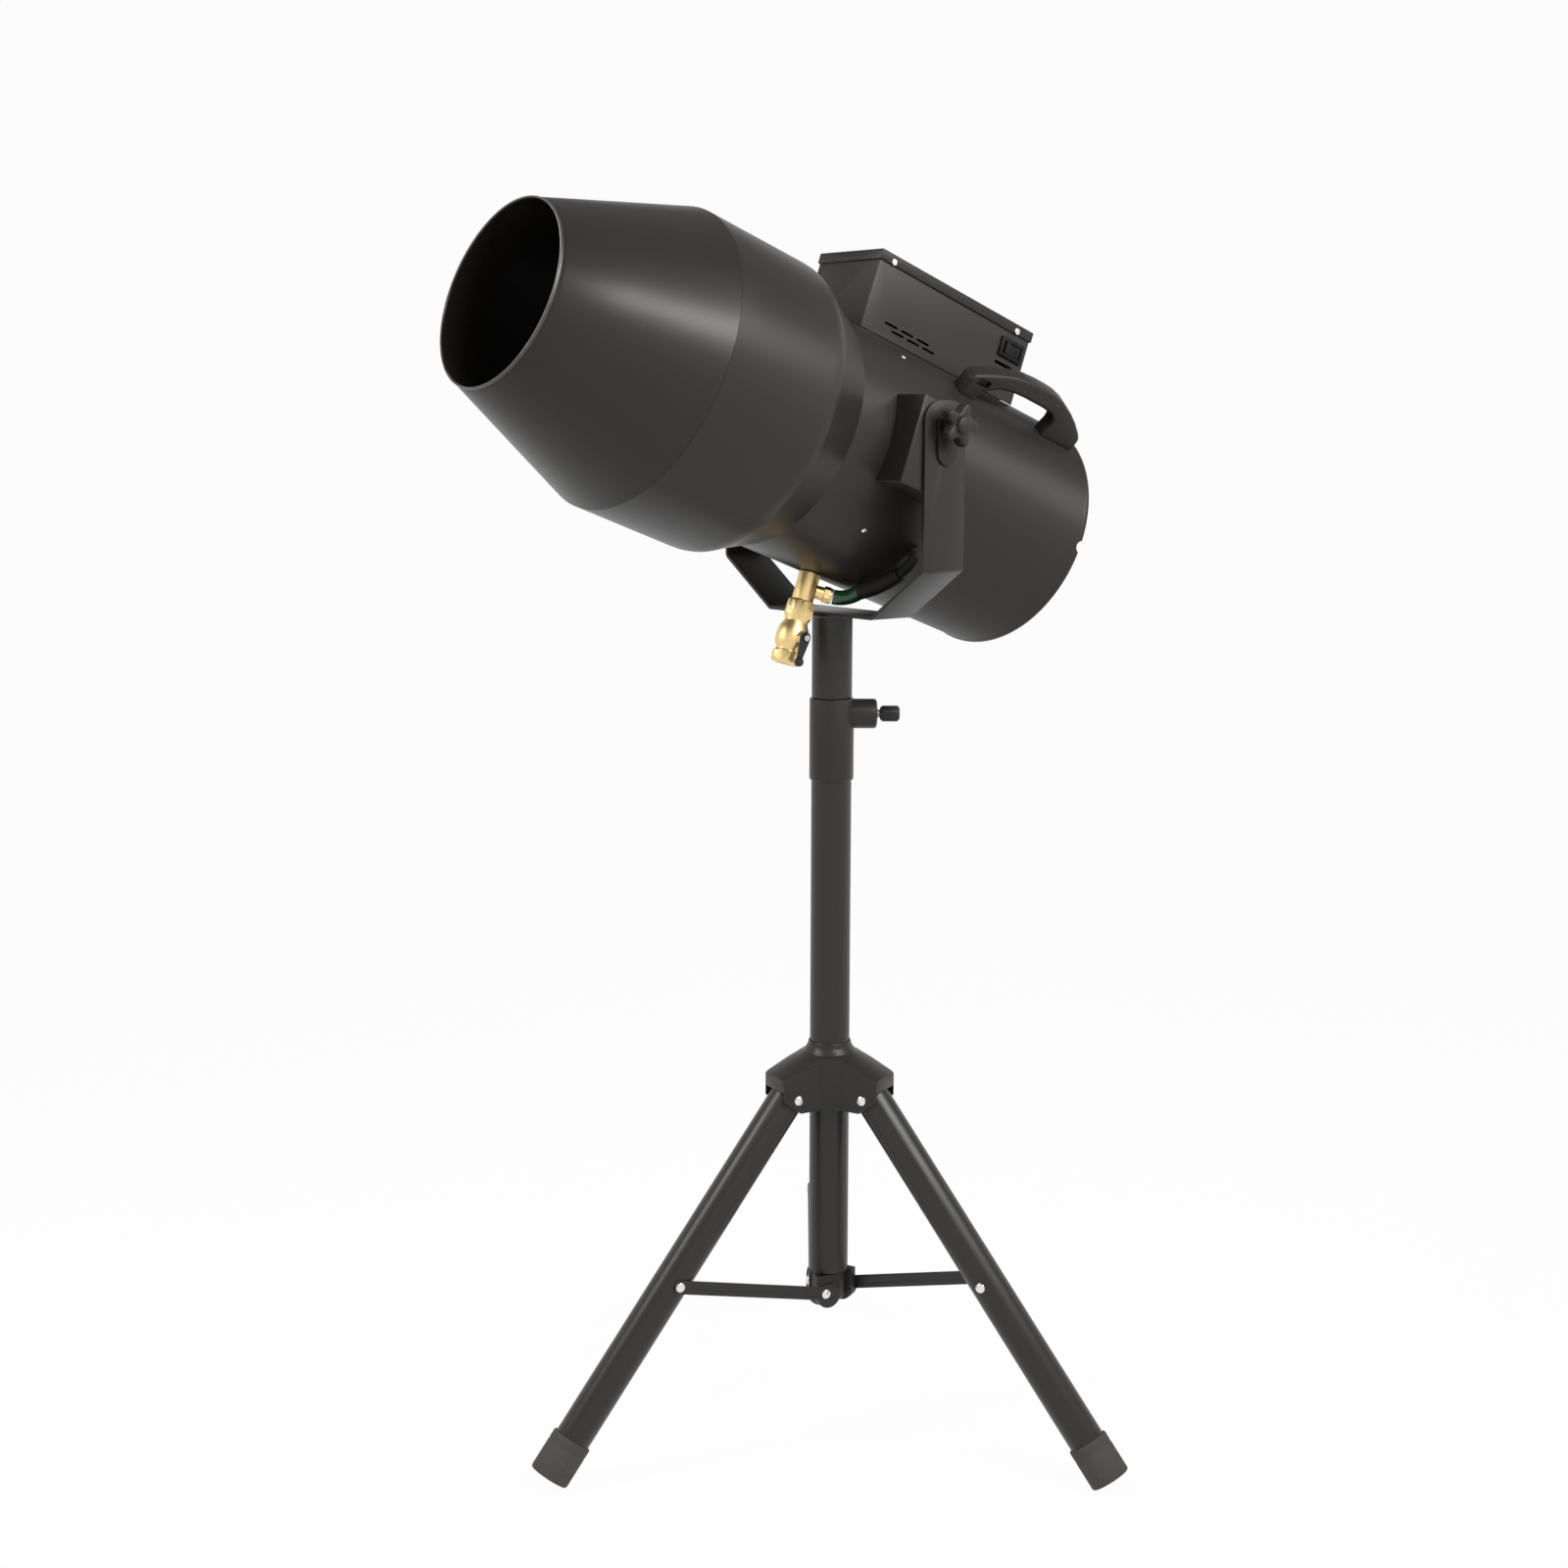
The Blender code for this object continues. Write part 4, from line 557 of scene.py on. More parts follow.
# Yoke: a socket tube that turns on the mast, with a flat steel strip welded across its top.
# The strip is folded four times into a cradle whose arms carry the tilt bolts.
yoke_azimuth = 218.62
yoke = pole @ turn_by(yoke_azimuth, "Z")
strip_width, strip_back, strip_sheet = 0.0475, -0.0075, 0.0030
base_low, base_half, fold_level, arm_in, arm_top = 0.7968, 0.0750, 0.8440, 0.1415, 0.9930
socket = spun([(0.0158, 0.7965), (0.0190, 0.7965), (0.0190, 0.7186), (0.0184, 0.7180), (0.0158, 0.7180)], 96, True)
weld = spun([(0.0188, 0.7966), (0.0204, 0.7963), (0.0198, 0.7950), (0.0190, 0.7940), (0.0186, 0.7955)], 96, True)
settle("yoke_socket_tube", merged(socket, weld), yoke, enamel, "yoke", "yoke_socket")
outer = [(0, base_low), (base_half, base_low), (arm_in + strip_sheet, fold_level), (arm_in + strip_sheet, arm_top)]
slope = math.atan2(fold_level - base_low, arm_in + strip_sheet - base_half)
inset, lift = strip_sheet * math.tan(slope / 2), strip_sheet * math.tan((math.radians(90) - slope) / 2)
inner = [(0, base_low + strip_sheet), (base_half - inset, base_low + strip_sheet), (arm_in, fold_level + lift),
         (arm_in, arm_top)]
half = (eased(outer, 0.0070, 6) + list(reversed(eased(inner, 0.0040, 6))))[1:-1]
strip = slab(half + [(-y, z) for y, z in reversed(half)], strip_width)
strip.transform(move_by(strip_back, 0, 0) @ turn_by(90, "Z"))
corner, past = 0.018, 0.004
for side in (1, -1):
    for end in (1, -1):
        # what lies outside the quarter round at each upper corner of the arm
        flat_end = strip_width / 2 - corner
        piece = [(end * (strip_width / 2 + past), -corner)]
        piece += [(end * (flat_end + x), -corner + z) for x, z in arc(corner, 0, 90, 9)]
        piece += [(end * flat_end, past), (end * (strip_width / 2 + past), past)]
        off = slab(piece if end > 0 else list(reversed(piece)), 0.02)
        off.transform(move_by(strip_back, side * (arm_in + strip_sheet / 2), arm_top))
        strip = carved(strip, off)
pivot_back, pivot_level = -0.0090, 0.9716
hole = moved(rod(0.0045, 0.2, -0.2, 32), move_by(pivot_back, 0, pivot_level) @ AXIS_Y)
settle("yoke_strip", softened(carved(strip, hole), 0.0005, 2, 50), yoke, coat, "yoke", "yoke_bracket", 40)
keeper_face = arm_in + strip_sheet + 0.0003 + 0.0010
for side, node in ((1, "pivot_keeper_left"), (-1, "pivot_keeper_right")):
    ends = arc(0.0115, 0, 180, 24) + arc(0.0115, 180, 360, 24, (0, -0.024))
    plate = slab(ends, 0.0020, 0.0005, 2, [arc(0.0045, 0, 345, 23)])
    at = yoke @ move_by(pivot_back, side * keeper_face, pivot_level)
    settle(node + "_plate", plate, at, plastic, "yoke", node)


# Nozzle cone and drum: spun steel shells, powder coated outside, their inner faces painted near-black as painted
# shade.
# The cone is seamed to the drum at the crease, and the mouth's edge is rolled and worn bright.
tilt_up, pivot_up = 20.38, 0.0270
barrel = yoke @ move_by(pivot_back, 0, pivot_level) @ turn_by(-tilt_up, "Y")
axis_line = barrel @ move_by(0, 0, -pivot_up)
duct = axis_line @ AXIS_X
# Near-black, almost unreflecting inner faces: painted shade for the dark inside of the shells.
inside = skin("inside_painted_shade", (0.0007, 0.0006, 0.0006), (0.0012, 0.0010, 0.0010), 0.85, 0.95, grain=600,
              depth=0.6, bump=0.0003, speck=0.0, specular=0.02)
rim_metal = skin("worn_rim", (0.060, 0.056, 0.052), (0.110, 0.105, 0.098), 0.30, 0.42, metallic=0.5, grain=700,
                 depth=0.5, blotch=60, bump=0.0002, speck=0.3)


def shaded_inside(mesh, radius_at):
    """Gives the faces nearer the Z axis than the shell's middle the second material: the painted shade of the
    inside.
    """
    for face in mesh.polygons:
        face.material_index = int(math.hypot(face.center.x, face.center.y) < radius_at(face.center.z))
    return mesh


def between(table, z):
    """Straight-line reading of a radius table given as (height, radius) from low to high."""
    for (z0, r0), (z1, r1) in zip(table, table[1:]):
        if z <= z1:
            return r0 + (r1 - r0) * max(0.0, (z - z0) / (z1 - z0))
    return table[-1][1]


cone = spun([(0.0838, 0.3753), (0.0850, 0.3735), (0.1050, 0.3210), (0.1303, 0.2540), (0.1374, 0.2353),
             (0.1359, 0.2353), (0.1352, 0.2390), (0.1336, 0.2425), (0.1288, 0.2538), (0.1036, 0.3210),
             (0.0815, 0.3760), (0.0815, 0.3785)], 192, True)
cone_middle = [(0.235, 0.1368), (0.2395, 0.1360), (0.254, 0.1296), (0.3753, 0.0825), (0.38, 0.0816)]
shaded_inside(cone, lambda z: between(cone_middle, z))
settle("nozzle_cone_shell", cone, duct, [coat, inside], "barrel", "nozzle_cone")
bead = [(0.0827 + 0.0011 * x, 0.3782 + 0.0018 * y) for x, y in arc(1, 0, 330, 11)]
settle("mouth_bead", spun(bead, 192, True), duct, rim_metal, "barrel")
drum = spun([(0.1374, 0.2350), (0.1374, 0.1290), (0.1371, 0.1230), (0.1360, 0.1178), (0.1338, 0.1135),
             (0.1310, 0.1090), (0.1135, 0.0713), (0.1107, 0.0713), (0.1107, 0.0470), (0.1092, 0.0470),
             (0.1092, 0.0740), (0.1292, 0.1095), (0.1325, 0.1150), (0.1345, 0.1185), (0.1357, 0.1240),
             (0.1359, 0.1290), (0.1359, 0.2350)], 192, True)
drum_middle = [(0.04, 0.1098), (0.072, 0.1104), (0.0745, 0.1130), (0.1093, 0.1301), (0.1240, 0.1364),
               (0.24, 0.1366)]
shaded_inside(drum, lambda z: between(drum_middle, z))
settle("drum_shell_skin", drum, duct, [coat, inside], "barrel", "drum_shell")


# Fan housing: a rolled steel duct with a wired rear rim, fixed to the drum's neck and to the motor's
# straps with small blind rivets. It is powder coated like the drum.
housing_r, housing_front, housing_rear, valve_x = 0.1125, 0.0710, -0.2300, -0.0135
rim = [(0.0, 0.0068), (0.0008, 0.0052), (0.0012, 0.0030), (0.0010, 0.0010), (0.0, 0.0), (-0.0010, 0.0),
       (-0.0015, 0.0008)]
duct_wall = spun([(housing_r, housing_front)] + [(housing_r + x, housing_rear + z) for x, z in rim]
                 + [(housing_r - 0.0015, housing_front)], 192, True)
nipple_way = moved(rod(0.0075, -0.09, -0.13, 40), AXIS_X.inverted() @ move_by(valve_x, 0, 0))
notch = moved(rod(0.0060, 0.13, 0.10, 32),
              AXIS_X.inverted() @ move_by(housing_rear - 0.0005, 0, 0) @ turn_by(-95, "X"))
# The duct's inner faces get the same near-black painted shade.
duct_wall = shaded_inside(carved(duct_wall, nipple_way, notch), lambda z: housing_r - 0.0008)
settle("fan_housing_duct", duct_wall, duct, [coat, inside], "barrel", "fan_housing")
strap_angles, strap_middle = (38.0, 132.0, -132.0, -38.0), 0.0070
spots = []
for a in strap_angles:
    aim = Vector((0, math.sin(math.radians(a)), math.cos(math.radians(a))))
    spots.append((Vector((strap_middle, 0, 0)) + aim * (housing_r - 0.0001), aim))
studded("housing_rivets", spots, rivet_head(0.0024, 0.0011, 0.0004), axis_line, nickel, "barrel")


# Rear guard: a welded finger guard of steel rings and ribs.
# It is painted black and sprung into the rear of the duct.
guard_x = -0.2200
guard_place = axis_line @ move_by(guard_x, 0, 0) @ AXIS_X


def guard_rings(add, given):
    """Rings of wire, evenly spaced from the smallest to the largest."""
    line = add("GeometryNodeMeshLine", {"Count": given["Rings"], "Offset": (0, 0, 0)}, mode="OFFSET")
    index = add("GeometryNodeInputIndex")
    last = add("ShaderNodeMath", {0: given["Rings"], 1: 1.0}, operation="SUBTRACT")
    share = add("ShaderNodeMath", {0: index.outputs["Index"], 1: last.outputs[0]}, operation="DIVIDE")
    size = add("ShaderNodeMapRange", {"Value": share.outputs[0], "To Min": given["Smallest"],
                                      "To Max": given["Largest"]})
    circle = add("GeometryNodeCurvePrimitiveCircle", {"Resolution": 96, "Radius": 1.0})
    placed = add("GeometryNodeInstanceOnPoints", {
        "Points": line.outputs["Mesh"], "Instance": circle.outputs["Curve"], "Scale": size.outputs["Result"]})
    real = add("GeometryNodeRealizeInstances", {"Geometry": placed.outputs["Instances"]})
    wire = add("GeometryNodeCurvePrimitiveCircle", {"Resolution": 8, "Radius": given["Wire"]})
    tube = add("GeometryNodeCurveToMesh", {"Curve": real.outputs["Geometry"],
                                           "Profile Curve": wire.outputs["Curve"]})
    return tube.outputs["Mesh"]


rings = grown(guard_rings, {"Rings": 9, "Smallest": 0.0225, "Largest": 0.1060, "Wire": 0.0011, "Finish": coat})
rib = moved(rod(0.0014, 0.1085, 0.0180, 12), move_by(0, 0, -0.0016) @ AXIS_X)
cap = spun([(0, 0.0012), (0.0215, 0.0012), (0.0232, 0.0004), (0.0235, -0.0008), (0.0225, -0.0012),
            (0, -0.0012)], 64)
band = spun([(0.1107, 0.0012), (0.1107, -0.0024), (0.1090, -0.0024), (0.1090, 0.0012)], 128, True)
grille = merged(rings, round_about(rib, 6, coat), cap, band)
settle("rear_guard_grille", grille, guard_place, coat, "barrel", "rear_guard")


# Motor mount and motor: four straps carry a clamp ring round a finned induction motor.
# The straps' feet are riveted through the housing where the four rivet heads show.
mount = moved(spun([(0.0515, 0.0165), (0.0515, -0.0045), (0.0483, -0.0045), (0.0483, 0.0165)], 96, True), AXIS_X)
for a in strap_angles:
    strap = bar_mesh((0.0240, 0.0176, 0.0592), (0.0060, 0, 0.0794), 0.0008, 2)
    mount = joined(mount, moved(strap, turn_by(-a, "X")))
mount = joined(mount, moved(rod(0.1107, 0.05, -0.05, 192), AXIS_X), "INTERSECT")
settle("motor_mount_straps", mount, axis_line, coat, "barrel", "motor_mount")
motor_grey = skin("cast_motor_grey", (0.20, 0.20, 0.19), (0.26, 0.26, 0.25), 0.42, 0.55, metallic=0.6, grain=300,
                  depth=0.8, bump=0.0005)
can = spun([(0, 0.0200), (0.0400, 0.0200), (0.0455, 0.0185), (0.0478, 0.0155), (0.0480, 0.0120), (0.0480, -0.0120),
            (0.0450, -0.0130), (0.0450, -0.0860), (0.0475, -0.0870), (0.0475, -0.0905), (0.0440, -0.0945),
            (0.0420, -0.0950), (0.0120, -0.0950), (0.0110, -0.1000), (0.0050, -0.1000), (0.0050, -0.1500),
            (0, -0.1500)])
fin = bar_mesh((0.0032, 0.0016, 0.0730), (0.0464, 0, -0.0495), 0.0005, 1)
settle("fan_motor_body", merged(can, round_about(fin, 28, motor_grey)), duct, motor_grey, "barrel", "fan_motor")


# Impeller: a moulded seven-blade axial fan wheel on the motor's shaft.
# The blades twist from steep at the hub to flat at the tip and thin out towards both edges.
def blade_mesh(rows=16, columns=14, hub=(0.0340, 52, 0.044), tip=(0.1060, 30, 0.060), wall=0.0021):
    """One blade, from the radius, pitch and chord at its hub to those at its tip."""
    points, faces = [], []
    for side in (1, -1):
        for i in range(rows):
            r, pitch, chord = (low + (high - low) * i / (rows - 1) for low, high in zip(hub, tip))
            pitch = math.radians(pitch)
            for j in range(columns):
                u = j / (columns - 1) - 0.5
                thin = wall * (1 - (2 * u) ** 6 * 0.7) / 2
                camber = 0.006 * (0.25 - u * u)
                off = camber + side * thin
                along = u * chord * math.sin(pitch) + off * math.cos(pitch)
                around = (u * chord * math.cos(pitch) - off * math.sin(pitch)) / r
                points.append((along * 0.98, r * math.sin(around), r * math.cos(around)))
    size = rows * columns
    for i in range(rows - 1):
        for j in range(columns - 1):
            a = i * columns + j
            faces.append((a, a + 1, a + columns + 1, a + columns))
            faces.append((size + a, size + a + columns, size + a + columns + 1, size + a + 1))
    edge = ([i * columns for i in range(rows)] + [(rows - 1) * columns + j for j in range(1, columns)]
            + [i * columns + columns - 1 for i in range(rows - 2, -1, -1)] + list(range(columns - 2, 0, -1)))
    for a, b in zip(edge, edge[1:] + edge[:1]):
        faces.append((a, b, size + b, size + a))
    mesh = bpy.data.meshes.new("blade")
    mesh.from_pydata(points, [], faces)
    return tidy(moved(mesh, AXIS_X.inverted()))


fan_hub = spun([(0.0053, -0.1080), (0.0330, -0.1080), (0.0375, -0.1086), (0.0396, -0.1100), (0.0400, -0.1125),
                (0.0400, -0.1470), (0.0390, -0.1505), (0.0365, -0.1535), (0.0300, -0.1556), (0.0150, -0.1590),
                (0.0050, -0.1600), (0, -0.1600), (0, -0.1504), (0.0053, -0.1504), (0.0053, -0.1080)])
blade = moved(blade_mesh(), move_by(0, 0, -0.1320))
settle("impeller_wheel", merged(fan_hub, round_about(blade, 7, plastic)), duct, plastic, "impeller", "impeller")


# Foam screen: a woven wire net stretched on a ring across the drum.
# The sprayed mix is blown through it and comes out as foam.
net_x = 0.2270
net_place = axis_line @ move_by(net_x, 0, 0) @ AXIS_X
# The net's wire is dark, darkened as painted shade for the dark inside of the drum.
net_metal = skin("net_wire_painted_shade", (0.05, 0.05, 0.048), (0.07, 0.07, 0.066), 0.40, 0.55, metallic=0.8, grain=400,
                 depth=0.5, speck=0.0)


def round_net(add, given):
    """A square net of wire cut to a disc."""
    grid = add("GeometryNodeMeshGrid", {"Size X": given["Width"], "Size Y": given["Width"],
                                        "Vertices X": given["Wires"], "Vertices Y": given["Wires"]})
    place = add("GeometryNodeInputPosition")
    length = add("ShaderNodeVectorMath", {0: place.outputs["Position"]}, operation="LENGTH")
    radius = add("ShaderNodeMath", {0: given["Width"], 1: 0.5}, operation="MULTIPLY")
    outside = add("FunctionNodeCompare", {0: length.outputs["Value"], 1: radius.outputs[0]}, data_type="FLOAT",
                  operation="GREATER_THAN")
    disc = add("GeometryNodeDeleteGeometry", {"Geometry": grid.outputs["Mesh"],
                                              "Selection": outside.outputs["Result"]}, domain="POINT")
    lines = add("GeometryNodeMeshToCurve", {"Mesh": disc.outputs["Geometry"]})
    wire = add("GeometryNodeCurvePrimitiveCircle", {"Resolution": 4, "Radius": given["Wire"]})
    tube = add("GeometryNodeCurveToMesh", {"Curve": lines.outputs["Curve"], "Profile Curve": wire.outputs["Curve"]})
    return tube.outputs["Mesh"]


net = grown(round_net, {"Width": 0.2670, "Wires": 76, "Wire": 0.00035, "Finish": net_metal})
hoop = spun([(0.1356, 0.0010), (0.1356, -0.0010), (0.1310, -0.0010), (0.1310, 0.0010)], 128, True)
settle("foam_screen_net", merged(net, hoop), net_place, net_metal, "barrel", "foam_screen", 60)


# Spray pipe and nozzle: a bent tube from the water inlet to the duct's centre line.
# It ends in a turned brass nozzle that throws a full cone of mix at the screen.
def routed(points, radius, bend=0.0, sides=32, count=6):
    """A tube along a route whose corners are bent to a radius."""
    if bend:
        route = [Vector(points[0])]
        for before, corner, after in zip(points, points[1:], points[2:]):
            before, corner, after = Vector(before), Vector(corner), Vector(after)
            into, out = (corner - before).normalized(), (after - corner).normalized()
            half = into.angle(out) / 2
            start = corner - into * bend * math.tan(half)
            middle = start + (out - into * out.dot(into)).normalized() * bend
            normal = into.cross(out).normalized()
            route += [middle + Matrix.Rotation(2 * half * i / count, 3, normal) @ (start - middle)
                      for i in range(count + 1)]
        points = route + [Vector(points[-1])]
    data = bpy.data.curves.new("route", "CURVE")
    data.dimensions, data.bevel_depth, data.bevel_resolution = "3D", radius, sides // 4 - 2
    data.use_fill_caps, data.twist_mode = True, "MINIMUM"
    lay(data, points)
    return tidy(baked(bpy.data.objects.new("route", data)))


brass = skin("turned_brass", (0.80, 0.58, 0.24), (0.88, 0.68, 0.34), 0.30, 0.44, metallic=1.0, grain=420, depth=0.6,
             blotch=45, bump=0.0002, speck=0.25, speck_colour=(0.30, 0.17, 0.05))
pipe_level, pipe_front = -0.0940, 0.1380
route = [(valve_x, 0, -0.1030), (valve_x, 0, pipe_level), (pipe_front, 0, pipe_level), (pipe_front, 0, 0.0),
         (0.1535, 0, 0.0)]
settle("spray_pipe_bend", routed(route, 0.0050, 0.0085), axis_line, zinc, "barrel", "spray_pipe")
tip = spun([(0, 0.1790), (0.0012, 0.1792), (0.0030, 0.1800), (0.0060, 0.1775), (0.0090, 0.1732), (0.0103, 0.1712),
            (0.0105, 0.1700), (0.0105, 0.1600), (0.0100, 0.1592), (0.0080, 0.1590), (0.0080, 0.1538),
            (0, 0.1538)], 48)
settle("spray_nozzle_tip", tip, duct, brass, "barrel", "spray_nozzle")


# Control box: folded sheet steel set astride the duct, with louvre slots in both sides.
# A rocker switch sits in the near side, a cable gland in the rear wall, and a screwed lid laps the top.
lid_coat = skin("darker_powder_coat", (0.0150, 0.0132, 0.0120), (0.0180, 0.0160, 0.0146), 0.34, 0.42, grain=1100,
                depth=0.5, blotch=6.0, bump=0.00024, speck=0.05, specular=0.26)
box_front, box_rear, box_half, box_low, box_top, sheet = 0.0430, -0.1580, 0.0435, 0.1000, 0.1762, 0.0012
switch_x, switch_z, gland_y, gland_z = -0.1380, 0.1520, -0.022, 0.1420
length, height = box_front - box_rear, box_top - box_low
box_centre = ((box_front + box_rear) / 2, 0, (box_top + box_low) / 2)
saddle = moved(rod(housing_r + 0.0007, 0.2, -0.3, 192), AXIS_X)
slots = [bar_mesh((0.0160, 0.010, 0.0022), (start - 0.008, side * box_half, row), 0.0010, 3)
         for row, starts in ((0.1180, (0.018, -0.0025, -0.023)), (0.1133, (0.008, -0.012, -0.032)))
         for start in starts for side in (1, -1)]
shell = carved(bar_mesh((length, 2 * box_half, height), box_centre, 0.0010, 3),
               bar_mesh((length - 2 * sheet, 2 * (box_half - sheet), height + 0.02), box_centre), saddle, *slots,
               bar_mesh((0.0270, 0.01, 0.0150), (switch_x, box_half, switch_z)),
               bar_mesh((0.0240, 0.01, 0.0030), (-0.1340, box_half, 0.1360), 0.0012, 3),
               moved(rod(0.0088, 0.01, -0.01, 48), move_by(box_rear, gland_y, gland_z) @ AXIS_X))
settle("control_box_shell", shell, axis_line, coat, "barrel", "control_box")
lid_top, flange, lap, gap = 0.1780, 0.0100, 0.0015, 0.0006
lid_centre = (box_centre[0], 0, lid_top - flange / 2)
lid = carved(bar_mesh((length + 2 * lap, 2 * (box_half + lap), flange), lid_centre, 0.0010, 3),
             moved(bar_mesh((length + gap, 2 * box_half + gap, flange), lid_centre), move_by(0, 0, -sheet)))
settle("box_lid_cover", lid, axis_line, lid_coat, "barrel", "box_lid")
pan_head = spun([(0, 0.0012), (0.0010, 0.0014), (0.0022, 0.0013), (0.0030, 0.0008), (0.0032, 0.0),
                 (0.0026, -0.0003), (0, -0.0003)], 32)
spots = [(Vector((x, side * (box_half + lap), 0.1712)), Vector((0, side, 0)))
         for x in (0.0280, switch_x) for side in (1, -1)]
studded("lid_screws", spots, pan_head, axis_line, nickel, "barrel")


# Circuit board and capacitor: the timer board stands on its pillars on the duct, under the lid.
# The motor's run capacitor lies behind it.
board_green = skin("board_laminate", (0.010, 0.060, 0.028), (0.014, 0.080, 0.036), 0.35, 0.45, grain=200, depth=0.3,
                   blotch=30, speck=0.8, speck_colour=(0.45, 0.42, 0.30))
board = [bar_mesh(*block) for block in (
    ((0.1000, 0.0700, 0.0016), (-0.0200, 0, 0.1242), 0.0003, 1),
    ((0.030, 0.026, 0.024), (0.008, -0.016, 0.1364), 0.0008, 2),
    ((0.020, 0.016, 0.015), (-0.024, 0.018, 0.1319), 0.0006, 2),
    ((0.034, 0.012, 0.012), (-0.044, -0.024, 0.1304), 0.0006, 2))]
board += [moved(rod(0.0030, 0.1236, 0.1102, 16), move_by(x, y, 0))
          for x in (-0.064, 0.024) for y in (-0.029, 0.029)]
settle("control_board_parts", merged(*board), axis_line, board_green, "barrel", "control_board")
cell = spun([(0, 0.030), (0.0145, 0.030), (0.0164, 0.0295), (0.0170, 0.0280), (0.0170, -0.0280), (0.0164, -0.0295),
             (0.0145, -0.030), (0, -0.030)], 64)
settle("capacitor_can", cell, axis_line @ move_by(-0.0960, 0, 0.1298) @ AXIS_Y, plastic, "barrel", "run_capacitor")


# Power switch: a black rocker in a bezel that snaps into the box's side.
# The rocker is crowned at both ends and stands pressed in at its front end.
switch_gloss = skin("glossy_switch", (0.004, 0.004, 0.004), (0.006, 0.006, 0.006), 0.30, 0.38, grain=300, depth=0.1,
                    speck=0.0, specular=0.15)
body_block = bar_mesh((0.0262, 0.0200, 0.0142), (0, 0.0355, 0), 0.0003, 1)
bezel = bar_mesh((0.0310, 0.0022, 0.0190), (0, 0.0449, 0), 0.0009, 3)
switch = carved(joined(body_block, bezel), bar_mesh((0.0226, 0.0200, 0.0116), (0, 0.0455, 0), 0.0004, 1))
settle("switch_bezel", switch, axis_line @ move_by(switch_x, 0, switch_z), switch_gloss, "barrel", "switch_body")
crest = [(-0.0100, -0.0018), (0.0100, -0.0018), (0.0102, 0.0038), (0.0098, 0.0044), (0.0050, 0.0034), (0.0, 0.0030),
         (-0.0050, 0.0034), (-0.0098, 0.0044), (-0.0102, 0.0038)]
rocker_at = axis_line @ move_by(switch_x, 0.0420, switch_z) @ turn_by(6, "Z")
rocker = moved(slab(crest, 0.0108, 0.0004, 1), AXIS_Y)
settle("rocker_cap", rocker, rocker_at, switch_gloss, "power_rocker", "power_rocker")


# Cable gland: a nylon gland with a hexagon nut and a slotted dome, left empty.
# Its fingers are moulded as ribs round the dome.
gland = spun([(0.0085, -0.1500), (0.0085, -0.1583), (0.0120, -0.1583), (0.0120, -0.1640), (0.0100, -0.1650),
              (0.0100, -0.1746), (0.0092, -0.1770), (0.0075, -0.1790), (0.0055, -0.1790), (0.0052, -0.1780),
              (0.0052, -0.1500)], 72, True)
gland = merged(gland, round_about(bar_mesh((0.0014, 0.0026, 0.0096), (0.0099, 0, -0.1698), 0.0004, 1), 12, plastic))
gland_at = axis_line @ move_by(0, gland_y, gland_z) @ AXIS_X
settle("cable_gland_nut", gland, gland_at, plastic, "barrel", "cable_gland")


# Carry handle: a glass-filled nylon arch with two feet screwed down to the duct beside the control box.
# It leans forty degrees to the near side and has a moulded pocket in its front foot.
lean = turn_by(-40, "X")
outer_line = [(-0.213, 0.106), (-0.2165, 0.118), (-0.215, 0.1260), (-0.209, 0.131), (-0.198, 0.1380),
              (-0.185, 0.1445), (-0.169, 0.1505), (-0.157, 0.1530), (-0.145, 0.1537), (-0.130, 0.1537),
              (-0.115, 0.1527), (-0.100, 0.1495), (-0.086, 0.1445), (-0.072, 0.1385), (-0.063, 0.1337),
              (-0.0600, 0.1300), (-0.0600, 0.106)]
inner_line = [(-0.081, 0.106), (-0.0810, 0.1170), (-0.0840, 0.1235), (-0.096, 0.1320), (-0.110, 0.1352),
              (-0.126, 0.1362), (-0.153, 0.1362), (-0.164, 0.1350), (-0.1715, 0.1305), (-0.173, 0.1240),
              (-0.172, 0.106)]
arch = moved(slab(eased(outer_line + inner_line, 0.006, 3, True), 0.0175, 0.0034, 4), lean)
pocket = moved(bar_mesh((0.0150, 0.0110, 0.0080), (-0.0755, 0.00875, 0.1310), 0.0018, 3), lean)
settle("carry_handle_arch", carved(arch, saddle, pocket), axis_line, plastic, "barrel", "carry_handle", 45)


# Pivot pads and tilt bolts: folded brackets welded to the duct on both sides.
# Each has a stud with a welded hexagon head, which passes the yoke's arm.
pad_face = arm_in - 0.0003
to_side = {"left": AXIS_Y, "right": turn_by(180, "Z") @ AXIS_Y}
for name, outwards in to_side.items():
    side = 1 if name == "left" else -1
    pad = carved(bar_mesh((0.0600, 0.060, 0.0810), (0, side * (pad_face - 0.030), 0.0045), 0.0016, 3),
                 bar_mesh((0.0560, 0.070, 0.0770), (0, side * (pad_face - 0.037), 0.0045)),
                 moved(rod(housing_r + 0.0003, 0.1, -0.1, 192), AXIS_X),
                 moved(rod(0.0043, 0.16, 0.10, 32), move_by(0, 0, pivot_up) @ outwards))
    settle("pivot_pad_" + name + "_bracket", pad, axis_line, coat, "barrel", "pivot_pad_" + name)
    stud = spun([(0, 0.1640), (0.0033, 0.1640), (0.0040, 0.1633), (0.0040, 0.1390), (0, 0.1390)], 32)
    hexagon = spun([(0, 0.1389), (0.0060, 0.1389), (0.0065, 0.1384), (0.0065, 0.1340), (0, 0.1340)], 6)
    bolt = moved(merged(stud, hexagon), outwards)
    settle("tilt_bolt_" + name + "_stud", bolt, barrel, zinc, "barrel", "tilt_bolt_" + name)


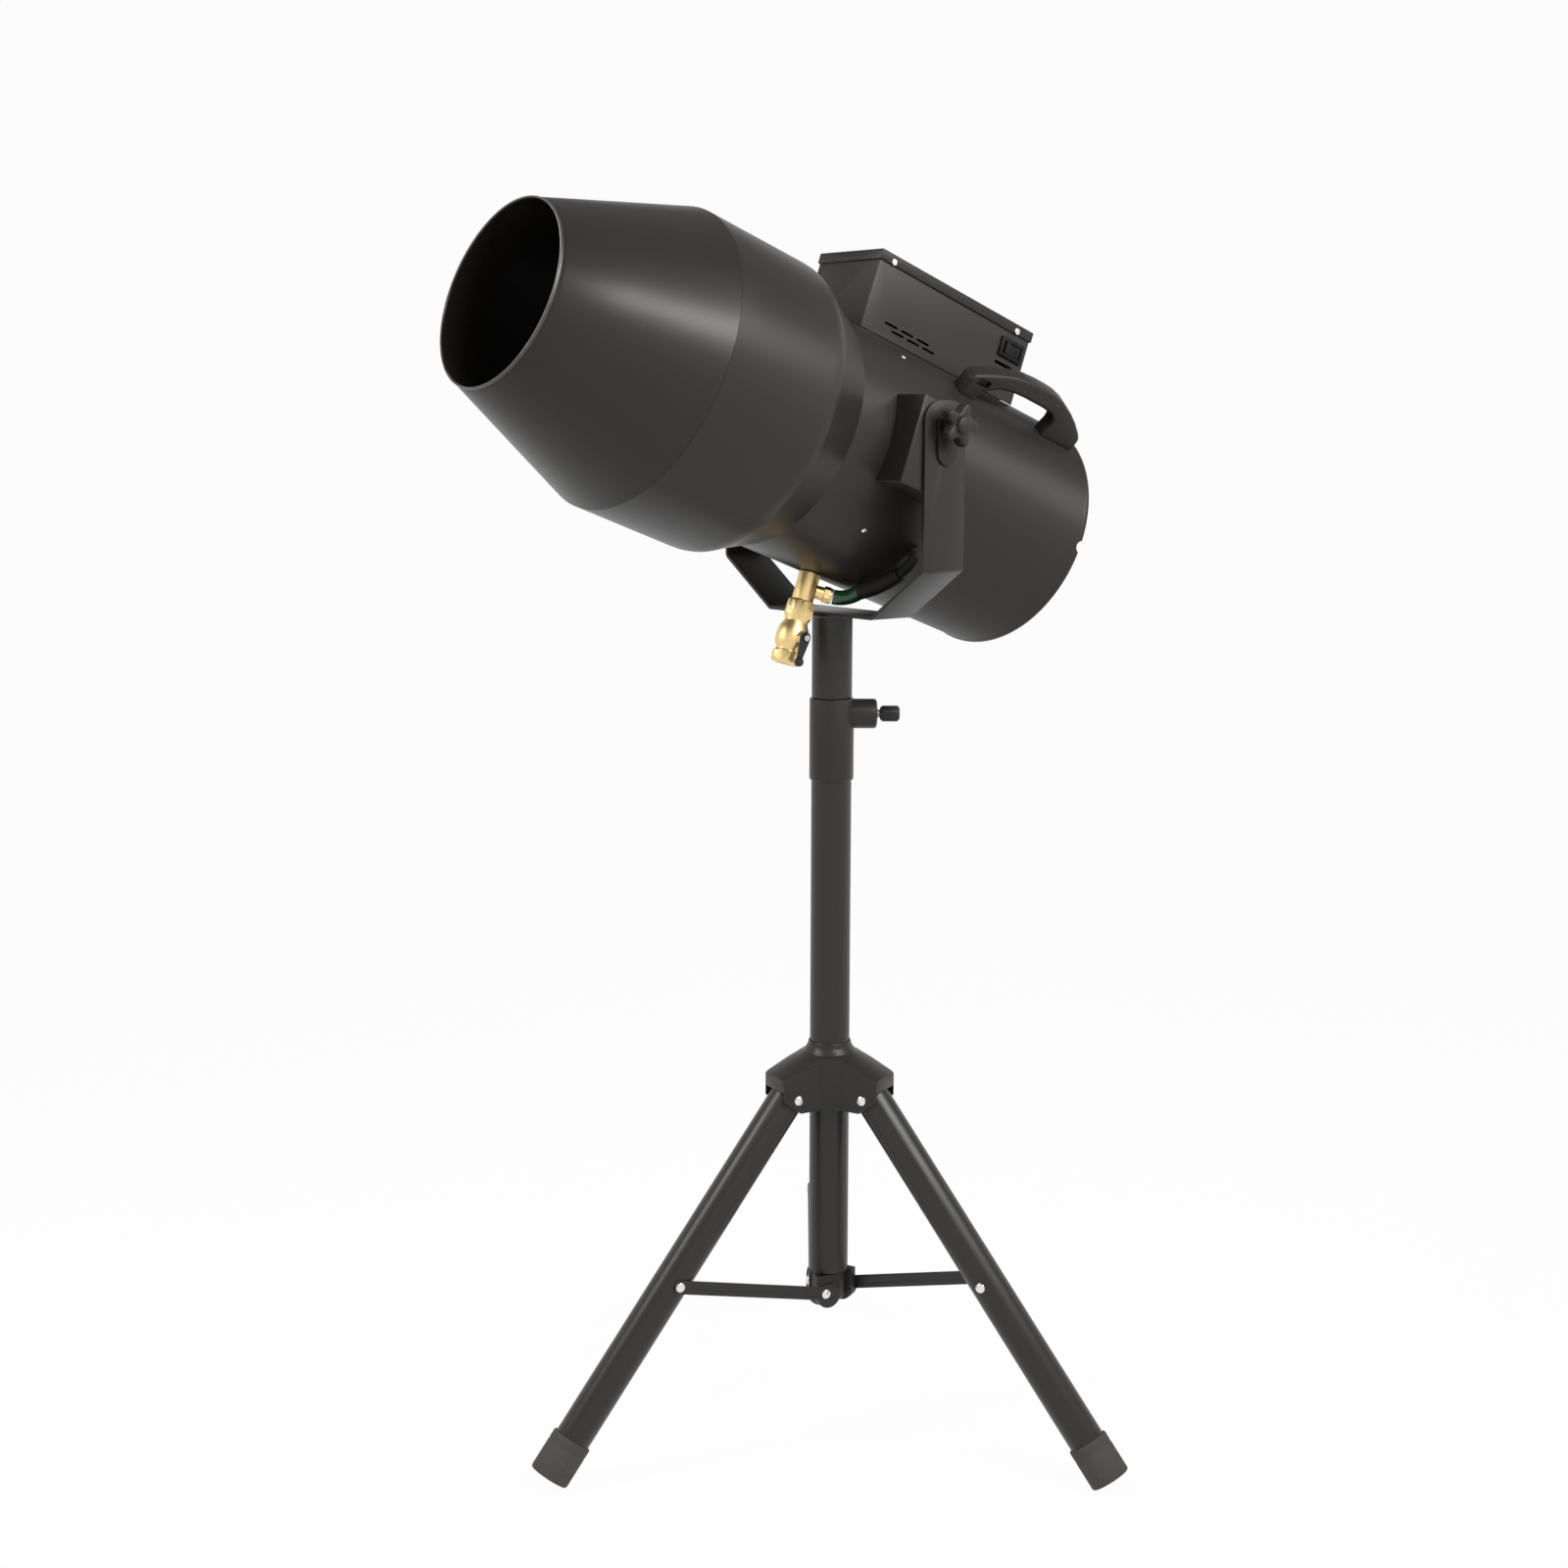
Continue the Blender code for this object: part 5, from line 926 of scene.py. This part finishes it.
# Star knobs: five-lobed moulded knobs that clamp the yoke's arms against the pads.
# Each has a collar below and a flat cap above its star.
knob_low = arm_in + strip_sheet + 0.0020 + 0.0009
lobe_turns = [math.tau * i / 100 for i in range(100)]
lobes = [((0.0155 + 0.0040 * math.cos(5 * a)) * math.sin(a), (0.0155 + 0.0040 * math.cos(5 * a)) * math.cos(a))
         for a in lobe_turns]
collar_line = [(0, 0.0110), (0.0085, 0.0110), (0.0085, 0.0006), (0.0080, 0.0), (0, 0.0)]
cap_line = [(0, 0.0215), (0.0066, 0.0215), (0.0076, 0.0208), (0.0080, 0.0195), (0.0082, 0.0120), (0, 0.0120)]
for node, facing in (("star_knob_left", 0), ("star_knob_right", 180)):
    star = moved(slab(lobes, 0.0120, 0.0030, 4), move_by(0, knob_low + 0.0125, 0))
    for line in (collar_line, cap_line):
        star = joined(star, moved(spun([(r, knob_low + z) for r, z in line], 48), AXIS_Y))
    star = carved(star, moved(rod(0.0043, 0.1646, knob_low - 0.002, 32), AXIS_Y))
    settle(node + "_grip", star, barrel @ turn_by(facing, "Z"), plastic, node, node, 40)


# Water valve: a brass nipple through the duct's wall carries a quarter-turn ball valve with hexagon ends.
# The lever is a strip with a dipped grip, strip and grip both finished black.
def ball(radius):
    """A round ball about the origin."""
    bm = bmesh.new()
    bmesh.ops.create_uvsphere(bm, u_segments=40, v_segments=24, radius=radius)
    return written(bm)


valve_line = axis_line @ move_by(valve_x, 0, 0)
nipple = [(0.0070, -0.1033), (0.0070, -0.1128), (0.0094, -0.1128), (0.0100, -0.1134), (0.0100, -0.1380),
          (0.0096, -0.1395), (0.0050, -0.1395), (0.0050, -0.1033)]
settle("inlet_nipple_tube", spun(nipple, 72, True), valve_line, brass, "barrel", "inlet_nipple")
body_profile = [(0.0112, -0.1398), (0.0125, -0.1412), (0.0125, -0.1560), (0.0110, -0.1585), (0.0112, -0.1610),
                (0.0138, -0.1660), (0.0148, -0.1720), (0.0148, -0.1780), (0.0138, -0.1830), (0.0115, -0.1862),
                (0.0112, -0.1880), (0.0128, -0.1890), (0.0128, -0.1980), (0.0120, -0.2000), (0.0062, -0.2000),
                (0.0062, -0.1398)]
valve = spun(body_profile, 72, True)
for low, high, across in ((-0.1560, -0.1412, 0.0139), (-0.1985, -0.1890, 0.0146)):
    nut = spun([(0, high), (across * 0.93, high), (across, high - 0.0009), (across, low + 0.0009),
                (across * 0.93, low), (0, low)], 6)
    valve = joined(valve, carved(nut, rod(0.0062, high + 0.01, low - 0.01, 48)))
ball_place = move_by(0, 0, -0.1740)
gland_nut = spun([(0, 0.0180), (0.0054, 0.0180), (0.0062, 0.0172), (0.0062, 0.0100), (0, 0.0100)], 6)
valve = carved(joined(valve, moved(gland_nut, ball_place @ AXIS_Y)), moved(ball(0.0096), ball_place),
               moved(rod(0.0034, 0.0300, 0.0, 32), ball_place @ AXIS_Y))
settle("valve_casting", softened(valve, 0.0004, 2, 40), valve_line, brass, "barrel", "valve_body", 40)
ball_at = valve_line @ ball_place
stem = spun([(0, 0.0232), (0.0026, 0.0232), (0.0030, 0.0228), (0.0030, 0.0060), (0, 0.0060)], 32)
stemmed = carved(joined(ball(0.0090), moved(stem, AXIS_Y)), rod(0.0050, 0.02, -0.02, 40))
settle("valve_ball_stem", stemmed, ball_at, zinc, "water_valve", "valve_ball")
arm = slab(arc(0.0056, 0, 180, 24) + [(-0.0028, -0.0200), (0.0028, -0.0200)], 0.0026, 0.0006, 2,
           [arc(0.0033, 0, 345, 23)])
tip = spun([(0, 0.0044), (0.0018, 0.0040), (0.0034, 0.0028), (0.0042, 0.0012), (0.0044, 0.0), (0.0040, -0.0020),
            (0.0026, -0.0036), (0, -0.0044)], 40)
lever = merged(moved(arm, move_by(0, 0.0198, 0)), moved(tip, move_by(0, 0.0205, -0.0230)))
settle("valve_lever_arm", lever, ball_at, knob_black, "water_valve", "valve_lever")


# Return hose: green reinforced hose from a hexagon nut on the nipple, round under the duct to an elbow port.
# Its far stretch, which runs in shade under the duct, wears a black sleeve that is painted shade, and the elbow is
# black too.
hose_green = skin("green_hose", (0.006, 0.052, 0.018), (0.010, 0.072, 0.026), 0.24, 0.34, grain=260, depth=0.5,
                  blotch=70, bump=0.0005, speck=0.5, speck_colour=(0.04, 0.16, 0.07), coat=0.4, coat_rough=0.15)
# Black for the elbow, and painted shade for the hose's shaded far stretch.
black_rubber_and_shade = skin("black_elbow_and_hose_shade", (0.016, 0.0142, 0.0130), (0.021, 0.0190, 0.0176), 0.55, 0.70, grain=900,
                    depth=1.0, bump=0.0003, speck=0.1, specular=0.25)
hose_ring, hose_start, start_ring, branch, port = 0.1228, 0.0262, 0.1290, math.radians(35.0), 134.0


def on_ring(x, radius, angle):
    """A point under the duct, at an angle from straight down, about the duct's axis."""
    return (x, radius * math.sin(angle), -radius * math.cos(angle))


def hose_line(steps=18, count=22):
    """The hose's middle line, about the duct's axis."""
    x, y = valve_x - hose_start * math.cos(branch), hose_start * math.sin(branch)
    bend, final = 0.0300, math.radians(84.0)
    flat = []
    for i in range(steps + 1):
        a = branch + (final - branch) * i / steps
        flat.append((x - bend * (math.sin(a) - math.sin(branch)), y + bend * (math.cos(branch) - math.cos(a))))
    rings = [start_ring + (hose_ring - start_ring) * (i / steps) ** 2 for i in range(steps + 1)]
    line = [(px, py, -math.sqrt(ring ** 2 - py ** 2)) for ring, (px, py) in zip(rings, flat)]
    reached = math.degrees(math.asin(flat[-1][1] / hose_ring))
    side, rise = flat[-1][0], 180 - port - 8.0
    for share in (i / count for i in range(1, count + 1)):
        line.append(on_ring(side - 0.006 * share, hose_ring, math.radians(reached + (rise - reached) * share)))
    return line


line, shaded_from = hose_line(), 18
settle("return_hose_run", routed(line, 0.0070), axis_line, hose_green, "barrel", "bypass_hose")
# A black sleeve over the far stretch, where the hose lies in shade: painted shade.
settle("return_hose_sleeve", routed(line[shaded_from:], 0.0076), axis_line, black_rubber_and_shade, "barrel")
level = -math.sqrt(start_ring ** 2 - (hose_start * math.sin(branch)) ** 2)
nut_place = valve_line @ move_by(0, 0, level) @ Matrix.Rotation(math.pi - branch, 4, "Z") @ AXIS_X
nut = spun([(0, hose_start - 0.0030), (0.0073, hose_start - 0.0030), (0.0079, hose_start - 0.0036),
            (0.0079, 0.0176), (0.0073, 0.0170), (0, 0.0170)], 6)
ferrule = spun([(0, hose_start - 0.0010), (0.0068, hose_start - 0.0010), (0.0072, hose_start - 0.0014),
                (0.0072, hose_start - 0.0040), (0, hose_start - 0.0040)], 48)
stub = rod(0.0062, 0.0180, 0.0096, 48)
settle("hose_nut_brass", merged(nut, ferrule, stub), nut_place, brass, "barrel", "hose_nut")
end, port_angle = line[-1], 180 - port
reached = math.degrees(math.atan2(end[1], -end[2]))
bends = [(reached + 0.5 + (port_angle - reached - 2.5) * i / 6, hose_ring) for i in range(7)]
bends += [(port_angle + 1.0, hose_ring - 0.0008), (port_angle + 2.3, hose_ring - 0.0020),
          (port_angle + 3.0, hose_ring - 0.0040), (port_angle + 3.0, housing_r + 0.0012)]
port_line = [on_ring(end[0], r, math.radians(degrees)) for degrees, r in bends]
settle("hose_port_elbow", routed(port_line, 0.0055, 0, 28), axis_line, black_rubber_and_shade, "barrel", "hose_port")


# Studio: a pale round floor that curves up into the backdrop, soft lamps, and the camera where the
# photograph was taken from. The floor glows for the camera and in reflections only.
def backdrop():
    material = bpy.data.materials.new("pale_backdrop")
    material.use_nodes = True
    add, nodes = adder(material.node_tree), material.node_tree.nodes
    shader = wired(nodes["Principled BSDF"], {"Base Color": (0.86, 0.86, 0.86, 1), "Roughness": 0.9})
    glow, path = add("ShaderNodeEmission"), add("ShaderNodeLightPath").outputs
    seen = add("ShaderNodeMath", {0: path["Is Camera Ray"], 1: path["Is Glossy Ray"]}, operation="MAXIMUM")
    clear = add("ShaderNodeMath", {0: seen.outputs[0], 1: path["Is Transmission Ray"]}, operation="MAXIMUM")
    share = add("ShaderNodeMath", {0: clear.outputs[0], 1: 0.96}, operation="MULTIPLY")
    mix = add("ShaderNodeMixShader", {0: share.outputs[0], 1: shader.outputs[0], 2: glow.outputs[0]})
    wired(nodes["Material Output"], {"Surface": mix.outputs[0]})
    return material


def staged(name, data):
    """A new object that belongs to the studio and not to the machine."""
    holder = bpy.data.objects.new(name, data)
    bpy.context.scene.collection.objects.link(holder)
    return holder


floor_mesh = moved(spun([(7.0, 4.2)] + arc(1.5, 0, -90, 9, (5.5, 1.5)) + [(0, 0)]), move_by(0, 0, -0.0006))
floor_mesh.materials.append(backdrop())
floor_mesh.shade_smooth()
staged("floor", floor_mesh)

world = bpy.data.worlds.new("studio")
bpy.context.scene.world = world
world.use_nodes = True
wired(world.node_tree.nodes["Background"], {"Color": (1, 1, 1, 1), "Strength": 0.26})


def softbox(name, place, aim, size, power):
    lamp = bpy.data.lights.new(name, "AREA")
    lamp.shape, lamp.size, lamp.size_y, lamp.energy = "RECTANGLE", size[0], size[1], power
    holder = staged(name, lamp)
    holder.location = place
    holder.rotation_euler = (Vector(aim) - Vector(place)).to_track_quat("-Z", "Y").to_euler()


softbox("key_right", (1.00, -1.12, 1.82), (-0.1, -0.1, 1.0), (1.0, 0.26), 22)
softbox("side_right", (1.45, -0.15, 1.54), (0.0, 0.0, 1.0), (0.55, 0.34), 1.2)
softbox("key_left", (-1.13, -0.39, 1.66), (-0.13, -0.1, 0.18), (0.42, 1.2), 18)
softbox("strip_right", (1.15, -0.50, 1.68), (0.18, -0.1, 0.18), (0.22, 1.0), 7)
softbox("fill_above", (-0.6, -1.9, 2.6), (0.0, 0.0, 0.7), (1.6, 1.0), 5)

lens = bpy.data.cameras.new("photo_camera")
lens.sensor_width = 36.0
lens.lens = lens.sensor_width * 2300 / 1600
camera = bpy.data.objects.new("photo_camera", lens)
bpy.context.scene.collection.objects.link(camera)
pitch, roll, yaw = 0.16256, 0.00305, -0.00381
eye = (pole_x - 0.0367, pole_y - 2.1039, 0.98046)
ahead = Vector((math.sin(yaw) * math.cos(pitch), math.cos(yaw) * math.cos(pitch), -math.sin(pitch)))
across = Vector((math.cos(yaw), -math.sin(yaw), 0))
upward = across.cross(ahead)
right = across * math.cos(roll) + upward * math.sin(roll)
over = upward * math.cos(roll) - across * math.sin(roll)
camera.matrix_world = move_by(*eye) @ Matrix((right, over, -ahead)).transposed().to_4x4()
bpy.context.scene.camera = camera
bpy.context.scene.view_settings.view_transform = "Standard"
